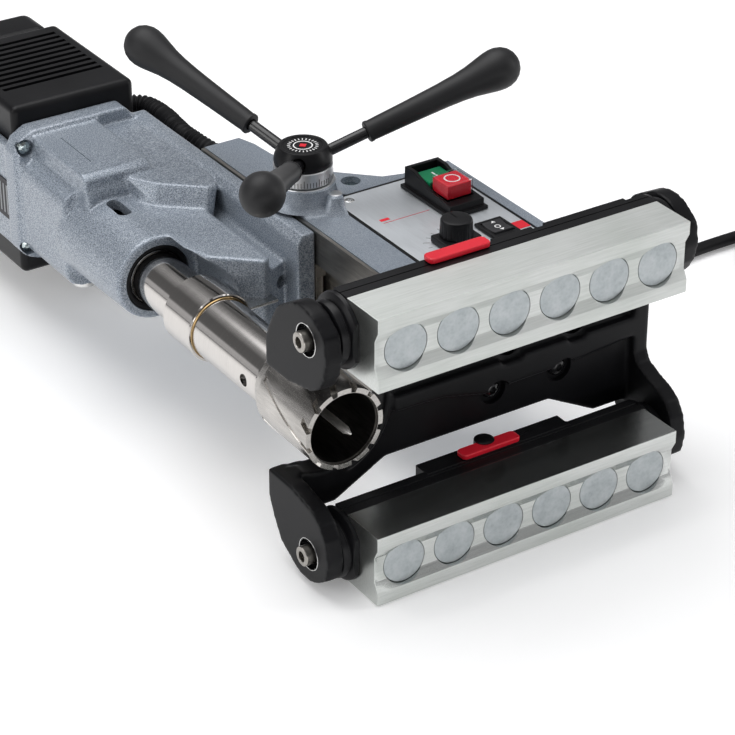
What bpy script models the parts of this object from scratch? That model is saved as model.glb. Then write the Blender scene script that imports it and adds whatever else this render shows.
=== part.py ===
"""Magnetic drill press for pipes: two hinged magnet arrays, a saddle bracket, a housing with the
controls, and a drill head that a capstan feeds along a dovetail slideway.

Design datum, in millimetres: X along the pole shoes from their middle, Y back from their front
plane, Z up from the mid-plane between the two arrays. DATUM moves it to the model's own frame,
whose origin is on the floor below the middle of the machine. The machine lies on its left side.
"""

from math import cos, pi, radians, sin, tan

import bmesh
import bpy
from mathutils import Matrix, Vector

MM = 0.001
CLEAR = 0.3  # gap between touching pieces

# Magnet arrays
ARRAY_Z = 74.8  # mid-plane to the middle of a pole shoe
SHOE_LENGTH, SHOE_DEPTH, SHOE_HEIGHT = 227.8, 33.3, 48.8
MAGNET_PITCH, MAGNET_RADIUS, MAGNET_COUNT = 37.0, 14.75, 6
GROOVE_DEPTH, GROOVE_FLAT, GROOVE_MOUTH = 3.5, 17.5, 30.8
PIVOT_Y = 40.5
ARRAY_END_X = 125.3
LEVER_LENGTH, LEVER_DEPTH, LEVER_LOW, LEVER_HIGH = 44.0, 10.0, 24.7, 29.2
UPPER_LEVER, LOWER_LEVER = (-29.0, 43.5), (1.5, 48.5)

# Saddle bracket
WALL_INNER_X, WALL_OUTER_X = 126.0, 137.5
WEB_FRONT_Y, WEB_BACK_Y, WEB_HALF = 68.0, 80.0, 44.7
RIB_FRONT_Y = 61.7
LOBE_INNER_Z = 37.0

# Housing and slideway
HOUSING_HALF = 44.8
HOUSING_FRONT_Y, HOUSING_REAR_Y, SLIDE_END_Y = 80.3, 243.0, 352.0
HOUSING_LEFT_X, HOUSING_RIGHT_X = -25.3, 103.0
HOUSING_WALL = 7.0
SLIDE_FACE_X = -28.0
PANEL_LEFT_X, PANEL_RIGHT_X, PANEL_FRONT_Y, PANEL_REAR_Y = 2.2, 94.9, 104.0, 237.0
PANEL_TOP_Z = 45.0

# Spindle line, along Y
SPINDLE_X = -106.2
CUTTER_TIP_Y, CUTTER_SHANK_Y, NOSE_Y = 48.0, 117.0, 277.0
CUTTER_RADIUS = 27.5
FLANGE_Y, MOTOR_Y, MOTOR_END_Y, CAP_END_Y = 428.0, 440.3, 560.0, 600.0
MOTOR_LEFT_X, MOTOR_RIGHT_X, MOTOR_HALF = -127.3, -31.0, 64.8
CARRIAGE_FRONT_Y = 203.0
SLIDE_BLOCK_X = -42.3
GEAR_MODULE, SPINDLE_TEETH, ARMATURE_TEETH = 1.2, 35, 10
MOTOR_X = SPINDLE_X + GEAR_MODULE * (SPINDLE_TEETH + ARMATURE_TEETH) / 2

# Capstan, along Z
CAPSTAN_X, CAPSTAN_Y = -11.5, 245.5
ARM_Z, ARM_TILT, ARM_LENGTH, FIRST_ARM = 72.4, 18.0, 146.6, 228.0
RACK_MODULE, PINION_TEETH = 1.5, 14
RACK_FRONT_Y, RACK_REAR_Y, RACK_BACK_X = 205.0, 372.0, -26.2

DATUM = Vector((0.0, -CAP_END_Y / 2, ARRAY_Z + SHOE_HEIGHT / 2))

TURN = {
    "+Z": Matrix.Identity(4),
    "-Z": Matrix.Rotation(pi, 4, "X"),
    "-Y": Matrix.Rotation(pi / 2, 4, "X"),
    "+Y": Matrix.Rotation(-pi / 2, 4, "X"),
    "+X": Matrix.Rotation(pi / 2, 4, "Y"),
    "-X": Matrix.Rotation(-pi / 2, 4, "Y"),
}


# ---------------------------------------------------------------- scene and materials

def clear_scene():
    for obj in list(bpy.data.objects):
        bpy.data.objects.remove(obj, do_unlink=True)


def new_collection(name):
    collection = bpy.data.collections.new(name)
    bpy.context.scene.collection.children.link(collection)
    return collection


def material(name, colour, roughness, metallic=0.0):
    made = bpy.data.materials.new(name)
    made.use_nodes = True
    shader = made.node_tree.nodes["Principled BSDF"]
    shader.inputs["Base Color"].default_value = (*colour, 1.0)
    shader.inputs["Roughness"].default_value = roughness
    shader.inputs["Metallic"].default_value = metallic
    return made


clear_scene()
PARTS = new_collection("magnetic_drill_press")
CUTTERS = new_collection("cutters")

HAMMERTONE = material("hammertone_grey", (0.30, 0.33, 0.36), 0.45, 0.3)
BLACK_CAST = material("black_casting", (0.02, 0.02, 0.023), 0.5)
BLACK_PLASTIC = material("black_plastic", (0.015, 0.015, 0.016), 0.55)
POLE_STEEL = material("pole_steel", (0.55, 0.57, 0.56), 0.35, 1.0)
ZINC = material("zinc_disc", (0.60, 0.65, 0.70), 0.45, 1.0)
TOOL_STEEL = material("tool_steel", (0.42, 0.40, 0.38), 0.25, 1.0)
BRIGHT_STEEL = material("bright_steel", (0.70, 0.69, 0.67), 0.25, 1.0)
BRASS = material("brass", (0.60, 0.45, 0.20), 0.35, 1.0)
PANEL_GREY = material("panel_grey", (0.62, 0.63, 0.64), 0.4, 0.5)
RED = material("red_plastic", (0.75, 0.02, 0.03), 0.35)
GREEN = material("green_plastic", (0.0, 0.32, 0.14), 0.35)
DIAL_SILVER = material("dial_silver", (0.72, 0.73, 0.74), 0.35, 0.8)
COPPER = material("copper_winding", (0.55, 0.25, 0.10), 0.4, 1.0)
BOARD_GREEN = material("circuit_board", (0.02, 0.18, 0.08), 0.5)
CORD_RUBBER = material("cord_rubber", (0.012, 0.012, 0.013), 0.6)


def adopt(obj, name, finish=None):
    """Names the object and files it as a part, or as a cutter where no finish is given."""
    obj.name = name
    for collection in list(obj.users_collection):
        collection.objects.unlink(obj)
    if finish is None:
        CUTTERS.objects.link(obj)
        obj.hide_render = True
        obj.display_type = "WIRE"
    else:
        PARTS.objects.link(obj)
        obj.data.materials.append(finish)
    return obj


def place(obj, point, turn="+Z"):
    obj.matrix_world = Matrix.Translation((Vector(point) + DATUM) * MM) @ TURN[turn]
    return obj


# ---------------------------------------------------------------- shapes

def from_bmesh(work, name, finish):
    mesh = bpy.data.meshes.new(name)
    work.to_mesh(mesh)
    work.free()
    return adopt(bpy.data.objects.new(name, mesh), name, finish)


def round_edges(obj, width, segments=1, angle=30):
    bevel = obj.modifiers.new("Bevel", "BEVEL")
    bevel.width = width * MM
    bevel.segments = segments
    bevel.limit_method = "ANGLE"
    bevel.angle_limit = radians(angle)
    return obj


def block(name, low, high, finish=None, rounding=0.0, segments=1):
    """A box between two corners, its edges rounded."""
    low, high = Vector(low), Vector(high)
    work = bmesh.new()
    bmesh.ops.create_cube(work, size=1.0)
    bmesh.ops.scale(work, vec=(high - low) * MM, verts=work.verts)
    obj = place(from_bmesh(work, name, finish), (low + high) / 2)
    return round_edges(obj, rounding, segments) if rounding else obj


def rod(name, point, turn, radius, length, finish=None, sides=32, top_radius=None):
    """A cylinder or cone from point along the turned axis."""
    work = bmesh.new()
    bmesh.ops.create_cone(
        work, cap_ends=True, segments=sides, radius1=radius * MM,
        radius2=(radius if top_radius is None else top_radius) * MM, depth=length * MM,
    )
    bmesh.ops.translate(work, vec=(0, 0, length * MM / 2), verts=work.verts)
    obj = place(from_bmesh(work, name, finish), point, turn)
    obj.data.shade_smooth()
    obj.data.set_sharp_from_angle(angle=radians(40))
    return obj


def turned(name, point, turn, profile, finish=None, sides=32):
    """A profile of (radius, height) turned about the object's Z axis, listed from the top down its
    outer side. A profile whose ends are off the axis is closed back to its start as a ring."""
    points = [(radius * MM, height * MM) for radius, height in profile]
    work = bmesh.new()
    verts = [work.verts.new((radius, 0, height)) for radius, height in points]
    for first, second in zip(verts, verts[1:]):
        work.edges.new((first, second))
    if profile[0][0] > 0 or profile[-1][0] > 0:
        work.edges.new((verts[-1], verts[0]))
    obj = place(from_bmesh(work, name, finish), point, turn)
    screw = obj.modifiers.new("Screw", "SCREW")
    screw.steps = screw.render_steps = sides
    screw.use_merge_vertices = True
    screw.merge_threshold = 0.00001
    screw.use_smooth_shade = True
    return obj


def prism(name, outline, axis, low, high, finish=None, rounding=0.0, segments=1):
    """A flat outline extruded from low to high along an axis. The outline's two coordinates are the
    other two axes in X, Y, Z order."""
    curve = bpy.data.curves.new(name, "CURVE")
    curve.dimensions = "2D"
    curve.fill_mode = "BOTH"
    curve.extrude = (high - low) / 2 * MM
    spline = curve.splines.new("POLY")
    spline.points.add(len(outline) - 1)
    for target, (first, second) in zip(spline.points, outline):
        second = -second if axis == "Y" else second
        target.co = (first * MM, second * MM, 0, 1)
    spline.use_cyclic_u = True
    drawn = bpy.data.objects.new(name, curve)
    CUTTERS.objects.link(drawn)
    mesh = bpy.data.meshes.new_from_object(drawn.evaluated_get(bpy.context.evaluated_depsgraph_get()))
    bpy.data.objects.remove(drawn, do_unlink=True)
    work = bmesh.new()
    work.from_mesh(mesh)
    bmesh.ops.remove_doubles(work, verts=work.verts, dist=0.000001)
    if rounding:
        bmesh.ops.dissolve_limit(work, angle_limit=0.001, verts=work.verts, edges=work.edges)
    bmesh.ops.recalc_face_normals(work, faces=work.faces)
    obj = from_bmesh(work, name, finish)
    middle = (low + high) / 2
    spin = {"Z": Matrix.Identity(4), "Y": TURN["-Y"] @ Matrix.Scale(1, 4), "X": X_FACE}[axis]
    if axis == "Y":
        spin = TURN["+Y"]
    shift = {"X": (middle, 0, 0), "Y": (0, middle, 0), "Z": (0, 0, middle)}[axis]
    obj.matrix_world = Matrix.Translation((Vector(shift) + DATUM) * MM) @ spin
    return round_edges(obj, rounding, segments) if rounding else obj


# Columns: where the outline's first, second and extrusion directions point on an X face.
X_FACE = Matrix(((0, 0, 1, 0), (1, 0, 0, 0), (0, 1, 0, 0), (0, 0, 0, 1)))


def boolean(obj, operation, tools):
    for tool in tools:
        modifier = obj.modifiers.new(operation.title(), "BOOLEAN")
        modifier.operation = operation
        modifier.solver = "EXACT"
        modifier.object = tool
    return obj


def cut(obj, *tools):
    return boolean(obj, "DIFFERENCE", tools)


def fuse(obj, *tools):
    return boolean(obj, "UNION", tools)


def arc(centre, radius, start, end, steps):
    """Points along an arc, angles in degrees, both ends included."""
    turns = [radians(start + (end - start) * i / steps) for i in range(steps + 1)]
    return [(centre[0] + radius * cos(t), centre[1] + radius * sin(t)) for t in turns]


def gear_outline(centre, teeth, module, phase, backlash=0.35):
    """Trapezoid teeth around a centre, the first tooth pointing at angle phase."""
    pitch = teeth * module / 2
    tip, root = pitch + 0.8 * module, pitch - 1.2 * module
    thick = (pi * module - backlash) / 2
    points = []
    for i in range(teeth):
        middle = phase + 2 * pi * i / teeth
        for radius, half in (
            (root, thick / 2 + 0.30 * module), (pitch, thick / 2), (tip, thick / 2 - 0.34 * module),
            (tip, -thick / 2 + 0.34 * module), (pitch, -thick / 2), (root, -thick / 2 - 0.30 * module),
        ):
            turn = middle - half / radius
            points.append((centre[0] + radius * cos(turn), centre[1] + radius * sin(turn)))
    return points


def joint_empty(name, point):
    empty = bpy.data.objects.new(name, None)
    PARTS.objects.link(empty)
    return place(empty, point)


def hang(empty, *objects):
    """Parents the objects to an empty on their joint's axis, without moving them."""
    for obj in objects:
        obj.parent = empty
        obj.matrix_parent_inverse = empty.matrix_world.inverted()


# ---------------------------------------------------------------- magnet arrays

def pole_shoe(name, z):
    half, mouth, flat = SHOE_HEIGHT / 2, GROOVE_MOUTH / 2, GROOVE_FLAT / 2
    outline = [
        (0, z + half), (0, z + mouth), (GROOVE_DEPTH, z + flat), (GROOVE_DEPTH, z - flat),
        (0, z - mouth), (0, z - half), (SHOE_DEPTH, z - half), (SHOE_DEPTH, z + half),
    ]
    shoe = prism(name, outline, "X", -SHOE_LENGTH / 2, SHOE_LENGTH / 2, POLE_STEEL)
    reach = MAGNET_PITCH * (MAGNET_COUNT - 1) / 2
    slot = block(name + "_slot", (-reach - 8, 11.5, z - 3.4), (reach + 8, 16.3, z + 3.4))
    bores = [
        rod(f"{name}_bore_{i + 1}", (magnet_x(i), -2, z), "+Y", MAGNET_RADIUS + 0.4, 14.3, sides=20)
        for i in range(MAGNET_COUNT)
    ]
    return cut(shoe, slot, *bores)


def magnet_x(i):
    return (i - (MAGNET_COUNT - 1) / 2) * MAGNET_PITCH


def magnet_row(name, z):
    """Six disc magnets on the bar that turns them together."""
    reach = MAGNET_PITCH * (MAGNET_COUNT - 1) / 2
    bar = block(name, (-reach - 7.5, 11.8, z - 3), (reach + 7.5, 16, z + 3), ZINC)
    discs = [
        rod(f"{name}_disc_{i + 1}", (magnet_x(i), 3.2, z), "+Y", MAGNET_RADIUS, 8.8, sides=20)
        for i in range(MAGNET_COUNT)
    ]
    return fuse(bar, *discs)


def array_housing(name, z, way, lever):
    """Black carrier behind the shoe, with round ends on the pivots and a gear boss at the rear.
    way is 1 for the lower array and -1 for the upper, which is the same part turned end for end."""
    half = SHOE_HEIGHT / 2 - 0.2
    body = block(
        name, (-ARRAY_END_X, SHOE_DEPTH + CLEAR, z - half), (ARRAY_END_X, 48, z + half), BLACK_PLASTIC
    )
    ends = [
        rod(f"{name}_end_{side}", (side * (SHOE_LENGTH / 2 + CLEAR), PIVOT_Y, z),
            "+X" if side > 0 else "-X", half, ARRAY_END_X - SHOE_LENGTH / 2 - CLEAR)
        for side in (-1, 1)
    ]
    boss_x, boss_z = sorted((-48 * way, 62 * way)), sorted((z + way * half, z - way * 15))
    boss = block(name + "_boss", (boss_x[0], 46, boss_z[0]), (boss_x[1], 57.5, boss_z[1]))
    fuse(body, *ends, boss)
    bolt_holes = [
        rod(f"{name}_hole_{side}", (side * 115.5, PIVOT_Y, z), "+X" if side > 0 else "-X", 5.3, 12)
        for side in (-1, 1)
    ]
    shaft = rod(name + "_shaft_hole", (*lever, z + 10), "+Z", 3.9, 30, sides=20)
    return cut(body, *bolt_holes, shaft)


def magnet_lever(name, z, lever):
    """Flat bar turned about its middle on a short shaft in the carrier."""
    x, y = lever
    bar = block(name, (x - LEVER_LENGTH / 2, y - LEVER_DEPTH / 2, z + LEVER_LOW),
                (x + LEVER_LENGTH / 2, y + LEVER_DEPTH / 2, z + LEVER_HIGH), RED, 1.0)
    return fuse(bar, rod(name + "_shaft", (x, y, z + 12), "+Z", 3.5, 14, sides=20))


def pivot_bolt(name, side, z):
    """Socket head bolt on the array's pivot, its head standing out of the bracket's recess."""
    head_depth, socket = 11.0, 4.5
    outer = 142.8
    profile = [
        (3.2, outer - socket), (3.2, outer), (5.9, outer), (6.5, outer - 0.6), (6.5, outer - head_depth),
        (5.0, outer - head_depth), (5.0, 117.0), (0, 117.0),
    ]
    profile = [(0, outer - socket)] + profile
    return turned(name, (0, PIVOT_Y, z), "+X" if side > 0 else "-X", profile, BRIGHT_STEEL, 24)


def magnet_arrays():
    for where, z, way, lever in (("upper", ARRAY_Z, -1, UPPER_LEVER), ("lower", -ARRAY_Z, 1, LOWER_LEVER)):
        pivot = joint_empty(f"{where}_array_axis", (0, PIVOT_Y, z))
        hang(
            pivot,
            pole_shoe(f"{where}_pole_shoe", z),
            magnet_row(f"{where}_magnet_row", z),
            array_housing(f"{where}_array_housing", z, way, lever),
        )
        lever_axis = joint_empty(f"{where}_lever_axis", (*lever, z + LEVER_LOW))
        hang(lever_axis, magnet_lever(f"{where}_magnet_lever", z, lever))
        for side, hand in ((-1, "left"), (1, "right")):
            pivot_bolt(f"{where}_pivot_bolt_{hand}", side, z)


# ---------------------------------------------------------------- saddle bracket

BRACKET_SCREWS = ((17.9, -22.9), (69.8, -22.9), (29.5, 9.0), (80.5, 9.0))


def lobe_outline(side_z):
    """End plate around a pivot, in (Y, Z) with Z outwards positive."""
    outline = [(87.0, LOBE_INNER_Z), (87.0, 56.0), (81.0, 70.0), (73.0, 83.0)]
    outline += arc((45.0, ARRAY_Z - 6), 26.5, 55, 125, 6)
    outline += [(20.5, 84.0), (18.0, 70.0), (21.0, 57.0), (27.0, 47.5), (36.0, 42.0)]
    outline += [(60.0, LOBE_INNER_Z)]
    return [(y, z * side_z) for y, z in outline]


def right_wall_outline():
    """One plate with a lobe at each end and a notch between them for the pipe."""
    upper = lobe_outline(1)[:-1] + [(48.0, 38.0), (58.0, 33.5), (RIB_FRONT_Y, 27.0)]
    lower = [(y, -z) for y, z in reversed(upper)]
    return upper + lower


def web_outline():
    """The web and its four arms, in (X, Z)."""
    quarter = [(63.0, WEB_HALF), (100.0, 64.5), (WALL_INNER_X + 2, 64.5)]
    right = quarter + [(x, -z) for x, z in reversed(quarter)]
    left = [(-x, -z) for x, z in right]
    return right + left


def magnet_bracket():
    web = prism("magnet_bracket", web_outline(), "Y", WEB_FRONT_Y, WEB_BACK_Y, BLACK_CAST)
    rib = block("bracket_rib", (-60, RIB_FRONT_Y, -20), (WALL_INNER_X + 2, WEB_FRONT_Y + 2, 0))
    right = prism("bracket_right", right_wall_outline(), "X", WALL_INNER_X, WALL_OUTER_X,
                  rounding=2.5)
    lobes = [
        prism(f"bracket_left_{i}", lobe_outline(side), "X", -WALL_OUTER_X, -WALL_INNER_X, rounding=2.5)
        for i, side in enumerate((1, -1))
    ]
    shelves = [
        block(f"bracket_shelf_{i}", (-WALL_INNER_X - 2, WEB_FRONT_Y, low), (-84, 86.5, high))
        for i, (low, high) in enumerate(((LOBE_INNER_Z + 1, 55), (-55, -LOBE_INNER_Z - 1)))
    ]
    fuse(web, rib, right, *lobes, *shelves)
    spindle_way = rod("bracket_spindle_way", (SPINDLE_X, 40, 0), "+Y", 40.0, 60, sides=40)
    left_mouth = block("bracket_left_mouth", (-140, 50, -36), (SPINDLE_X, 95, 36))
    cut(web, spindle_way, left_mouth)
    for i, z in enumerate((ARRAY_Z, -ARRAY_Z)):
        reach = WALL_INNER_X - 0.2
        cut(web, rod(f"bracket_array_way_{i}", (-reach, PIVOT_Y, z), "+X", 26.5, 2 * reach, sides=32))
        for side, turn in ((-1, "-X"), (1, "+X")):
            cut(
                web,
                rod(f"bracket_bolt_hole_{i}_{side}", (side * 120, PIVOT_Y, z), turn, 5.3, 20),
                rod(f"bracket_bolt_recess_{i}_{side}", (side * 131.5, PIVOT_Y, z), turn, 10.0, 8),
            )
    for i, (x, z) in enumerate(BRACKET_SCREWS):
        cut(
            web,
            rod(f"bracket_screw_hole_{i}", (x, 60, z), "+Y", 4.3, 30, sides=16),
            rod(f"bracket_screw_recess_{i}", (x, 55, z), "+Y", 10.5, 17, sides=24),
        )
    return web


def bracket_screws():
    head = [(0, 4.2), (3.5, 4.0), (5.8, 2.4), (6.5, 0.3), (6.5, 0), (4.0, 0), (4.0, -22), (0, -22)]
    for i, (x, z) in enumerate(BRACKET_SCREWS):
        turned(f"bracket_screw_{i + 1}", (x, 72 - CLEAR, z), "-Y", head, BRIGHT_STEEL, 16)


# ---------------------------------------------------------------- housing, slideway and controls

def housing_outline():
    return [
        (HOUSING_LEFT_X, HOUSING_FRONT_Y), (HOUSING_RIGHT_X, HOUSING_FRONT_Y),
        (HOUSING_RIGHT_X, HOUSING_REAR_Y), (66.0, HOUSING_REAR_Y), (52.0, 247.0), (28.0, 271.0),
        (6.0, 307.0), (6.0, 338.0), (2.0, SLIDE_END_Y), (HOUSING_LEFT_X, SLIDE_END_Y),
    ]


def frame_housing():
    half = HOUSING_HALF
    body = prism("frame_housing", housing_outline(), "Z", -half, half, HAMMERTONE, 1.5)
    boss = turned(
        "housing_boss", (CAPSTAN_X, CAPSTAN_Y, 0), "+Z",
        [(0, 61.6), (21.5, 61.6), (22.0, 61.1), (22.0, half - 0.1), (0, half - 0.1)],
    )
    fuse(body, boss)
    wall = HOUSING_WALL
    chamber = block("housing_chamber", (18, HOUSING_FRONT_Y + 14, -60), (HOUSING_RIGHT_X - wall,
                    HOUSING_REAR_Y - wall, half - wall))
    well = block("housing_pinion_well", (-30, 226, -16), (19, 265, 16))
    slide_seat = block("housing_slide_seat", (-40, 60, -35.3), (-11.7, 380, 35.3))
    shaft = rod("housing_shaft_hole", (CAPSTAN_X, CAPSTAN_Y, -41), "+Z", 8.4, 110, sides=24)
    panel_seat = block(
        "housing_panel_seat", (PANEL_LEFT_X - CLEAR, PANEL_FRONT_Y - CLEAR, PANEL_TOP_Z - 1.8),
        (PANEL_RIGHT_X + CLEAR, PANEL_REAR_Y + CLEAR, 60),
    )
    cover_seat = block("housing_cover_seat", (10, HOUSING_FRONT_Y + 6, -60), (HOUSING_RIGHT_X - 3,
                       HOUSING_REAR_Y - 3, -half + 3.3))
    cut(body, chamber, well, slide_seat, shaft, panel_seat, cover_seat)
    switches = [
        block("housing_switch_way", (56, 174, 30), (80, 218, 60)),
        rod("housing_knob_way", (KNOB_X, KNOB_Y, 30), "+Z", 5.5, 40, sides=16),
        block("housing_rocker_way", (ROCKER_X - 8, ROCKER_Y - 9, 30), (ROCKER_X + 8, ROCKER_Y + 9, 60)),
    ]
    gland = rod("housing_gland_hole", (90, CORD_Y, CORD_Z), "+X", 6.4, 20, sides=20)
    screw_ways = [
        rod(f"housing_screw_hole_{i}", (x, 70, z), "+Y", 4.3, 30, sides=16)
        for i, (x, z) in enumerate(BRACKET_SCREWS)
    ]
    return cut(body, *switches, gland, *screw_ways)


def slide_way():
    """Steel way let into the housing's left side: a T slot along Y, with a window for the pinion."""
    face, wing, back = SLIDE_FACE_X, HOUSING_HALF - 0.5, -12.0
    seat, lip, slot = 35.0, -25.2, -19.6
    outline = [
        (face, wing), (face, 20.0), (lip, 20.0), (lip, 27.0), (slot, 27.0), (slot, -27.0),
        (lip, -27.0), (lip, -20.0), (face, -20.0), (face, -wing), (-25.6, -wing), (-25.6, -seat),
        (back, -seat), (back, seat), (-25.6, seat), (-25.6, wing),
    ]
    way = prism("slide_way", outline, "Y", HOUSING_FRONT_Y + 8, SLIDE_END_Y, TOOL_STEEL)
    window = block("slide_way_window", (-20, 231, -12), (0, 260, 12))
    shaft = rod("slide_way_shaft", (CAPSTAN_X, CAPSTAN_Y, -60), "+Z", 8.4, 120, sides=24)
    return cut(way, window, shaft)


def gib_strip():
    return block("gib_strip", (-24.9, HOUSING_FRONT_Y + 10, 25.0), (-20.0, SLIDE_END_Y - 2, 26.7), BRASS)


def side_cover():
    """Plate over the chamber, on the side the machine lies on."""
    return block(
        "side_cover", (10.3, HOUSING_FRONT_Y + 6.3, -HOUSING_HALF + 0.3),
        (HOUSING_RIGHT_X - 3.3, HOUSING_REAR_Y - 3.3, -HOUSING_HALF + 3.0), HAMMERTONE,
    )


KNOB_X, KNOB_Y = 39.0, 141.0
ROCKER_X, ROCKER_Y = 71.0, 140.0
SWITCH_LOW, SWITCH_HIGH = (52.5, 168.0), (83.5, 226.0)
START_Y, STOP_Y = 208.0, 188.0


def control_panel():
    plate = block(
        "control_panel", (PANEL_LEFT_X, PANEL_FRONT_Y, PANEL_TOP_Z - 1.5),
        (PANEL_RIGHT_X, PANEL_REAR_Y, PANEL_TOP_Z), PANEL_GREY,
    )
    return cut(
        plate,
        block("panel_switch_way", (56, 174, 30), (80, 218, 60)),
        rod("panel_knob_way", (KNOB_X, KNOB_Y, 30), "+Z", 5.5, 40, sides=16),
        block("panel_rocker_way", (ROCKER_X - 8, ROCKER_Y - 9, 30), (ROCKER_X + 8, ROCKER_Y + 9, 60)),
    )


def switch_box():
    """Black switch surround with a base flange, high at the rear behind the start button."""
    (low_x, low_y), (high_x, high_y) = SWITCH_LOW, SWITCH_HIGH
    base_z = PANEL_TOP_Z + CLEAR
    profile = [
        (low_y + 2, base_z + 1), (high_y - 2, base_z + 1), (high_y - 2, 61.0), (high_y - 11, 61.0),
        (low_y + 24, 54.0), (low_y + 2, 53.0),
    ]
    box = prism("switch_box", profile, "X", low_x + 2, high_x - 2, BLACK_PLASTIC, 0.8)
    flange = block("switch_flange", (low_x, low_y, base_z), (high_x, high_y, base_z + 2.5), None, 0.6)
    fuse(box, flange)
    inside = [
        block("switch_start_way", (57.5, START_Y - 9.5, base_z + 2), (78.5, START_Y + 9.5, 80)),
        block("switch_stop_way", (57.5, STOP_Y - 10.0, base_z + 2), (78.5, STOP_Y + 10.0, 80)),
        block("switch_throat", (60, STOP_Y - 7, 30), (76, START_Y + 7, 60)),
    ]
    return cut(box, *inside)


def switch_buttons():
    base = PANEL_TOP_Z + CLEAR + 2
    for name, y, half, top, finish in (
        ("start_button", START_Y, 9.0, 58.0, GREEN), ("stop_button", STOP_Y, 9.5, 64.5, RED),
    ):
        cap = block(name, (58, y - half, base + 5), (78, y + half, top), finish, 1.0)
        stem = block(name + "_stem", (64, y - 5, PANEL_TOP_Z - 6), (72, y + 5, base + 6))
        hang(joint_empty(name + "_axis", (68, y, base)), fuse(cap, stem))


def speed_knob():
    base = block("speed_knob_base", (KNOB_X - 14, KNOB_Y - 9, PANEL_TOP_Z + CLEAR),
                 (KNOB_X + 14, KNOB_Y + 9, 50.0), BLACK_PLASTIC, 0.8)
    cut(base, rod("speed_knob_bore", (KNOB_X, KNOB_Y, 40), "+Z", 5.0, 30, sides=16))
    profile = [
        (0, 62.5), (9.8, 62.5), (10.6, 61.8), (11.0, 51.0), (10.5, 50.3), (4.5, 50.3), (4.5, 39.0), (0, 39.0),
    ]
    turned("speed_knob", (KNOB_X, KNOB_Y, 0), "+Z", profile, BLACK_PLASTIC)


def direction_switch():
    base_z = PANEL_TOP_Z + CLEAR
    bezel = block("direction_bezel", (ROCKER_X - 10.5, ROCKER_Y - 12, base_z),
                  (ROCKER_X + 10.5, ROCKER_Y + 12, base_z + 2.2), BLACK_PLASTIC, 0.6)
    cut(bezel, block("direction_bezel_way", (ROCKER_X - 7.8, ROCKER_Y - 8.8, 30),
                     (ROCKER_X + 7.8, ROCKER_Y + 8.8, 60)))
    profile = [
        (ROCKER_Y - 7.6, 48.6), (ROCKER_Y - 7.6, 45.8), (ROCKER_Y - 3, 42.0), (ROCKER_Y + 3, 42.0),
        (ROCKER_Y + 7.6, 45.8), (ROCKER_Y + 7.6, 48.6), (ROCKER_Y, 49.4),
    ]
    rocker = prism("direction_rocker", profile, "X", ROCKER_X - 7.4, ROCKER_X + 7.4, BLACK_PLASTIC)
    hang(joint_empty("rocker_axis", (ROCKER_X, ROCKER_Y, 45.5)), rocker)


def circuit_board():
    return block("circuit_board", (30, 110, 8), (90, 160, 10), BOARD_GREEN)


# ---------------------------------------------------------------- drill head

def gear_case():
    """Grey casting: the barrel around the spindle, the gear block, the motor flange, and the block
    that carries the slide."""
    barrel = turned(
        "gear_case", (SPINDLE_X, 0, 0), "-Y",
        [(28.5, -NOSE_Y), (31.0, -NOSE_Y - 3), (31.5, -361), (26.5, -363), (26.5, -FLANGE_Y - 3),
         (20.0, -FLANGE_Y - 3), (20.0, -NOSE_Y)],
        HAMMERTONE, 36,
    )
    gears = block("case_gears", (-133.4, 357.5, -38), (-60, FLANGE_Y + 4, 36), None, 6.0, 2)
    ridge = block("case_ridge", (-122.3, 350.4, 25.3), (-75.2, FLANGE_Y + 2, 49.5), None, 4.0, 2)
    flange = prism(
        "case_flange",
        [(-135, 42), (-122, 54), (-44, 54), (-36, 44), (-36, -44), (-44, -54), (-100, -54), (-128, -43), (-135, -36)],
        "Y", FLANGE_Y, MOTOR_Y - CLEAR,
    )
    ear = block("case_ear", (-132.6, FLANGE_Y + 1, -39), (MOTOR_LEFT_X - CLEAR, 482, 39), None, 0.8)
    slide_block = block(
        "case_slide_block", (SLIDE_BLOCK_X, CARRIAGE_FRONT_Y, -44), (SLIDE_FACE_X - 0.4, FLANGE_Y + 5, 44.2),
        None, 1.5,
    )
    join = SLIDE_BLOCK_X + 3
    web = prism(
        "case_web", [(-84, 292), (-62, 262), (join, 240), (join, FLANGE_Y + 6), (-84, FLANGE_Y + 6)], "Z", -32, 28,
    )
    shelf = prism(
        "case_shelf", [(-95, 300), (-92, 236), (-63, 209.5), (join, 206), (join, 380), (-95, 380)], "Z", 26, 33,
    )
    fuse(barrel, gears, ridge, web, shelf, slide_block, flange, ear)
    bore = rod("case_bore", (SPINDLE_X, NOSE_Y - 5, 0), "+Y", 23.8, 110, sides=36)
    chamber = block("case_chamber", (-130, 382, -25), (-54, MOTOR_Y + 5, 25))
    drift_slot = block("case_drift_slot", (SPINDLE_X - 5, 320.5, 15), (SPINDLE_X + 5, 347.5, 45), None, 4.5)
    tapped_hole = rod("case_tapped_hole", (SLIDE_BLOCK_X - 6, 227, 2), "+X", 5.5, 14, sides=24)
    oil_way = rod("case_oil_way", (OIL_X, OIL_Y, -60), "+Z", 5.3, 35, sides=24)
    return cut(barrel, bore, chamber, drift_slot, tapped_hole, oil_way)


OIL_X, OIL_Y = -115.0, 368.0


def dovetail_slide():
    """Steel T that runs in the slideway, with a groove for the rack."""
    face, lip, wing = SLIDE_FACE_X - 0.1, -24.9, -20.1
    outline = [
        (face, 19.6), (lip, 19.6), (lip, 24.6), (wing, 24.6), (wing, 9.3), (RACK_BACK_X - CLEAR, 9.3),
        (RACK_BACK_X - CLEAR, -9.3), (wing, -9.3), (wing, -26.6), (lip, -26.6), (lip, -19.6), (face, -19.6),
    ]
    return prism("dovetail_slide", outline, "Y", CARRIAGE_FRONT_Y + 2, 400, TOOL_STEEL)


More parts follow.
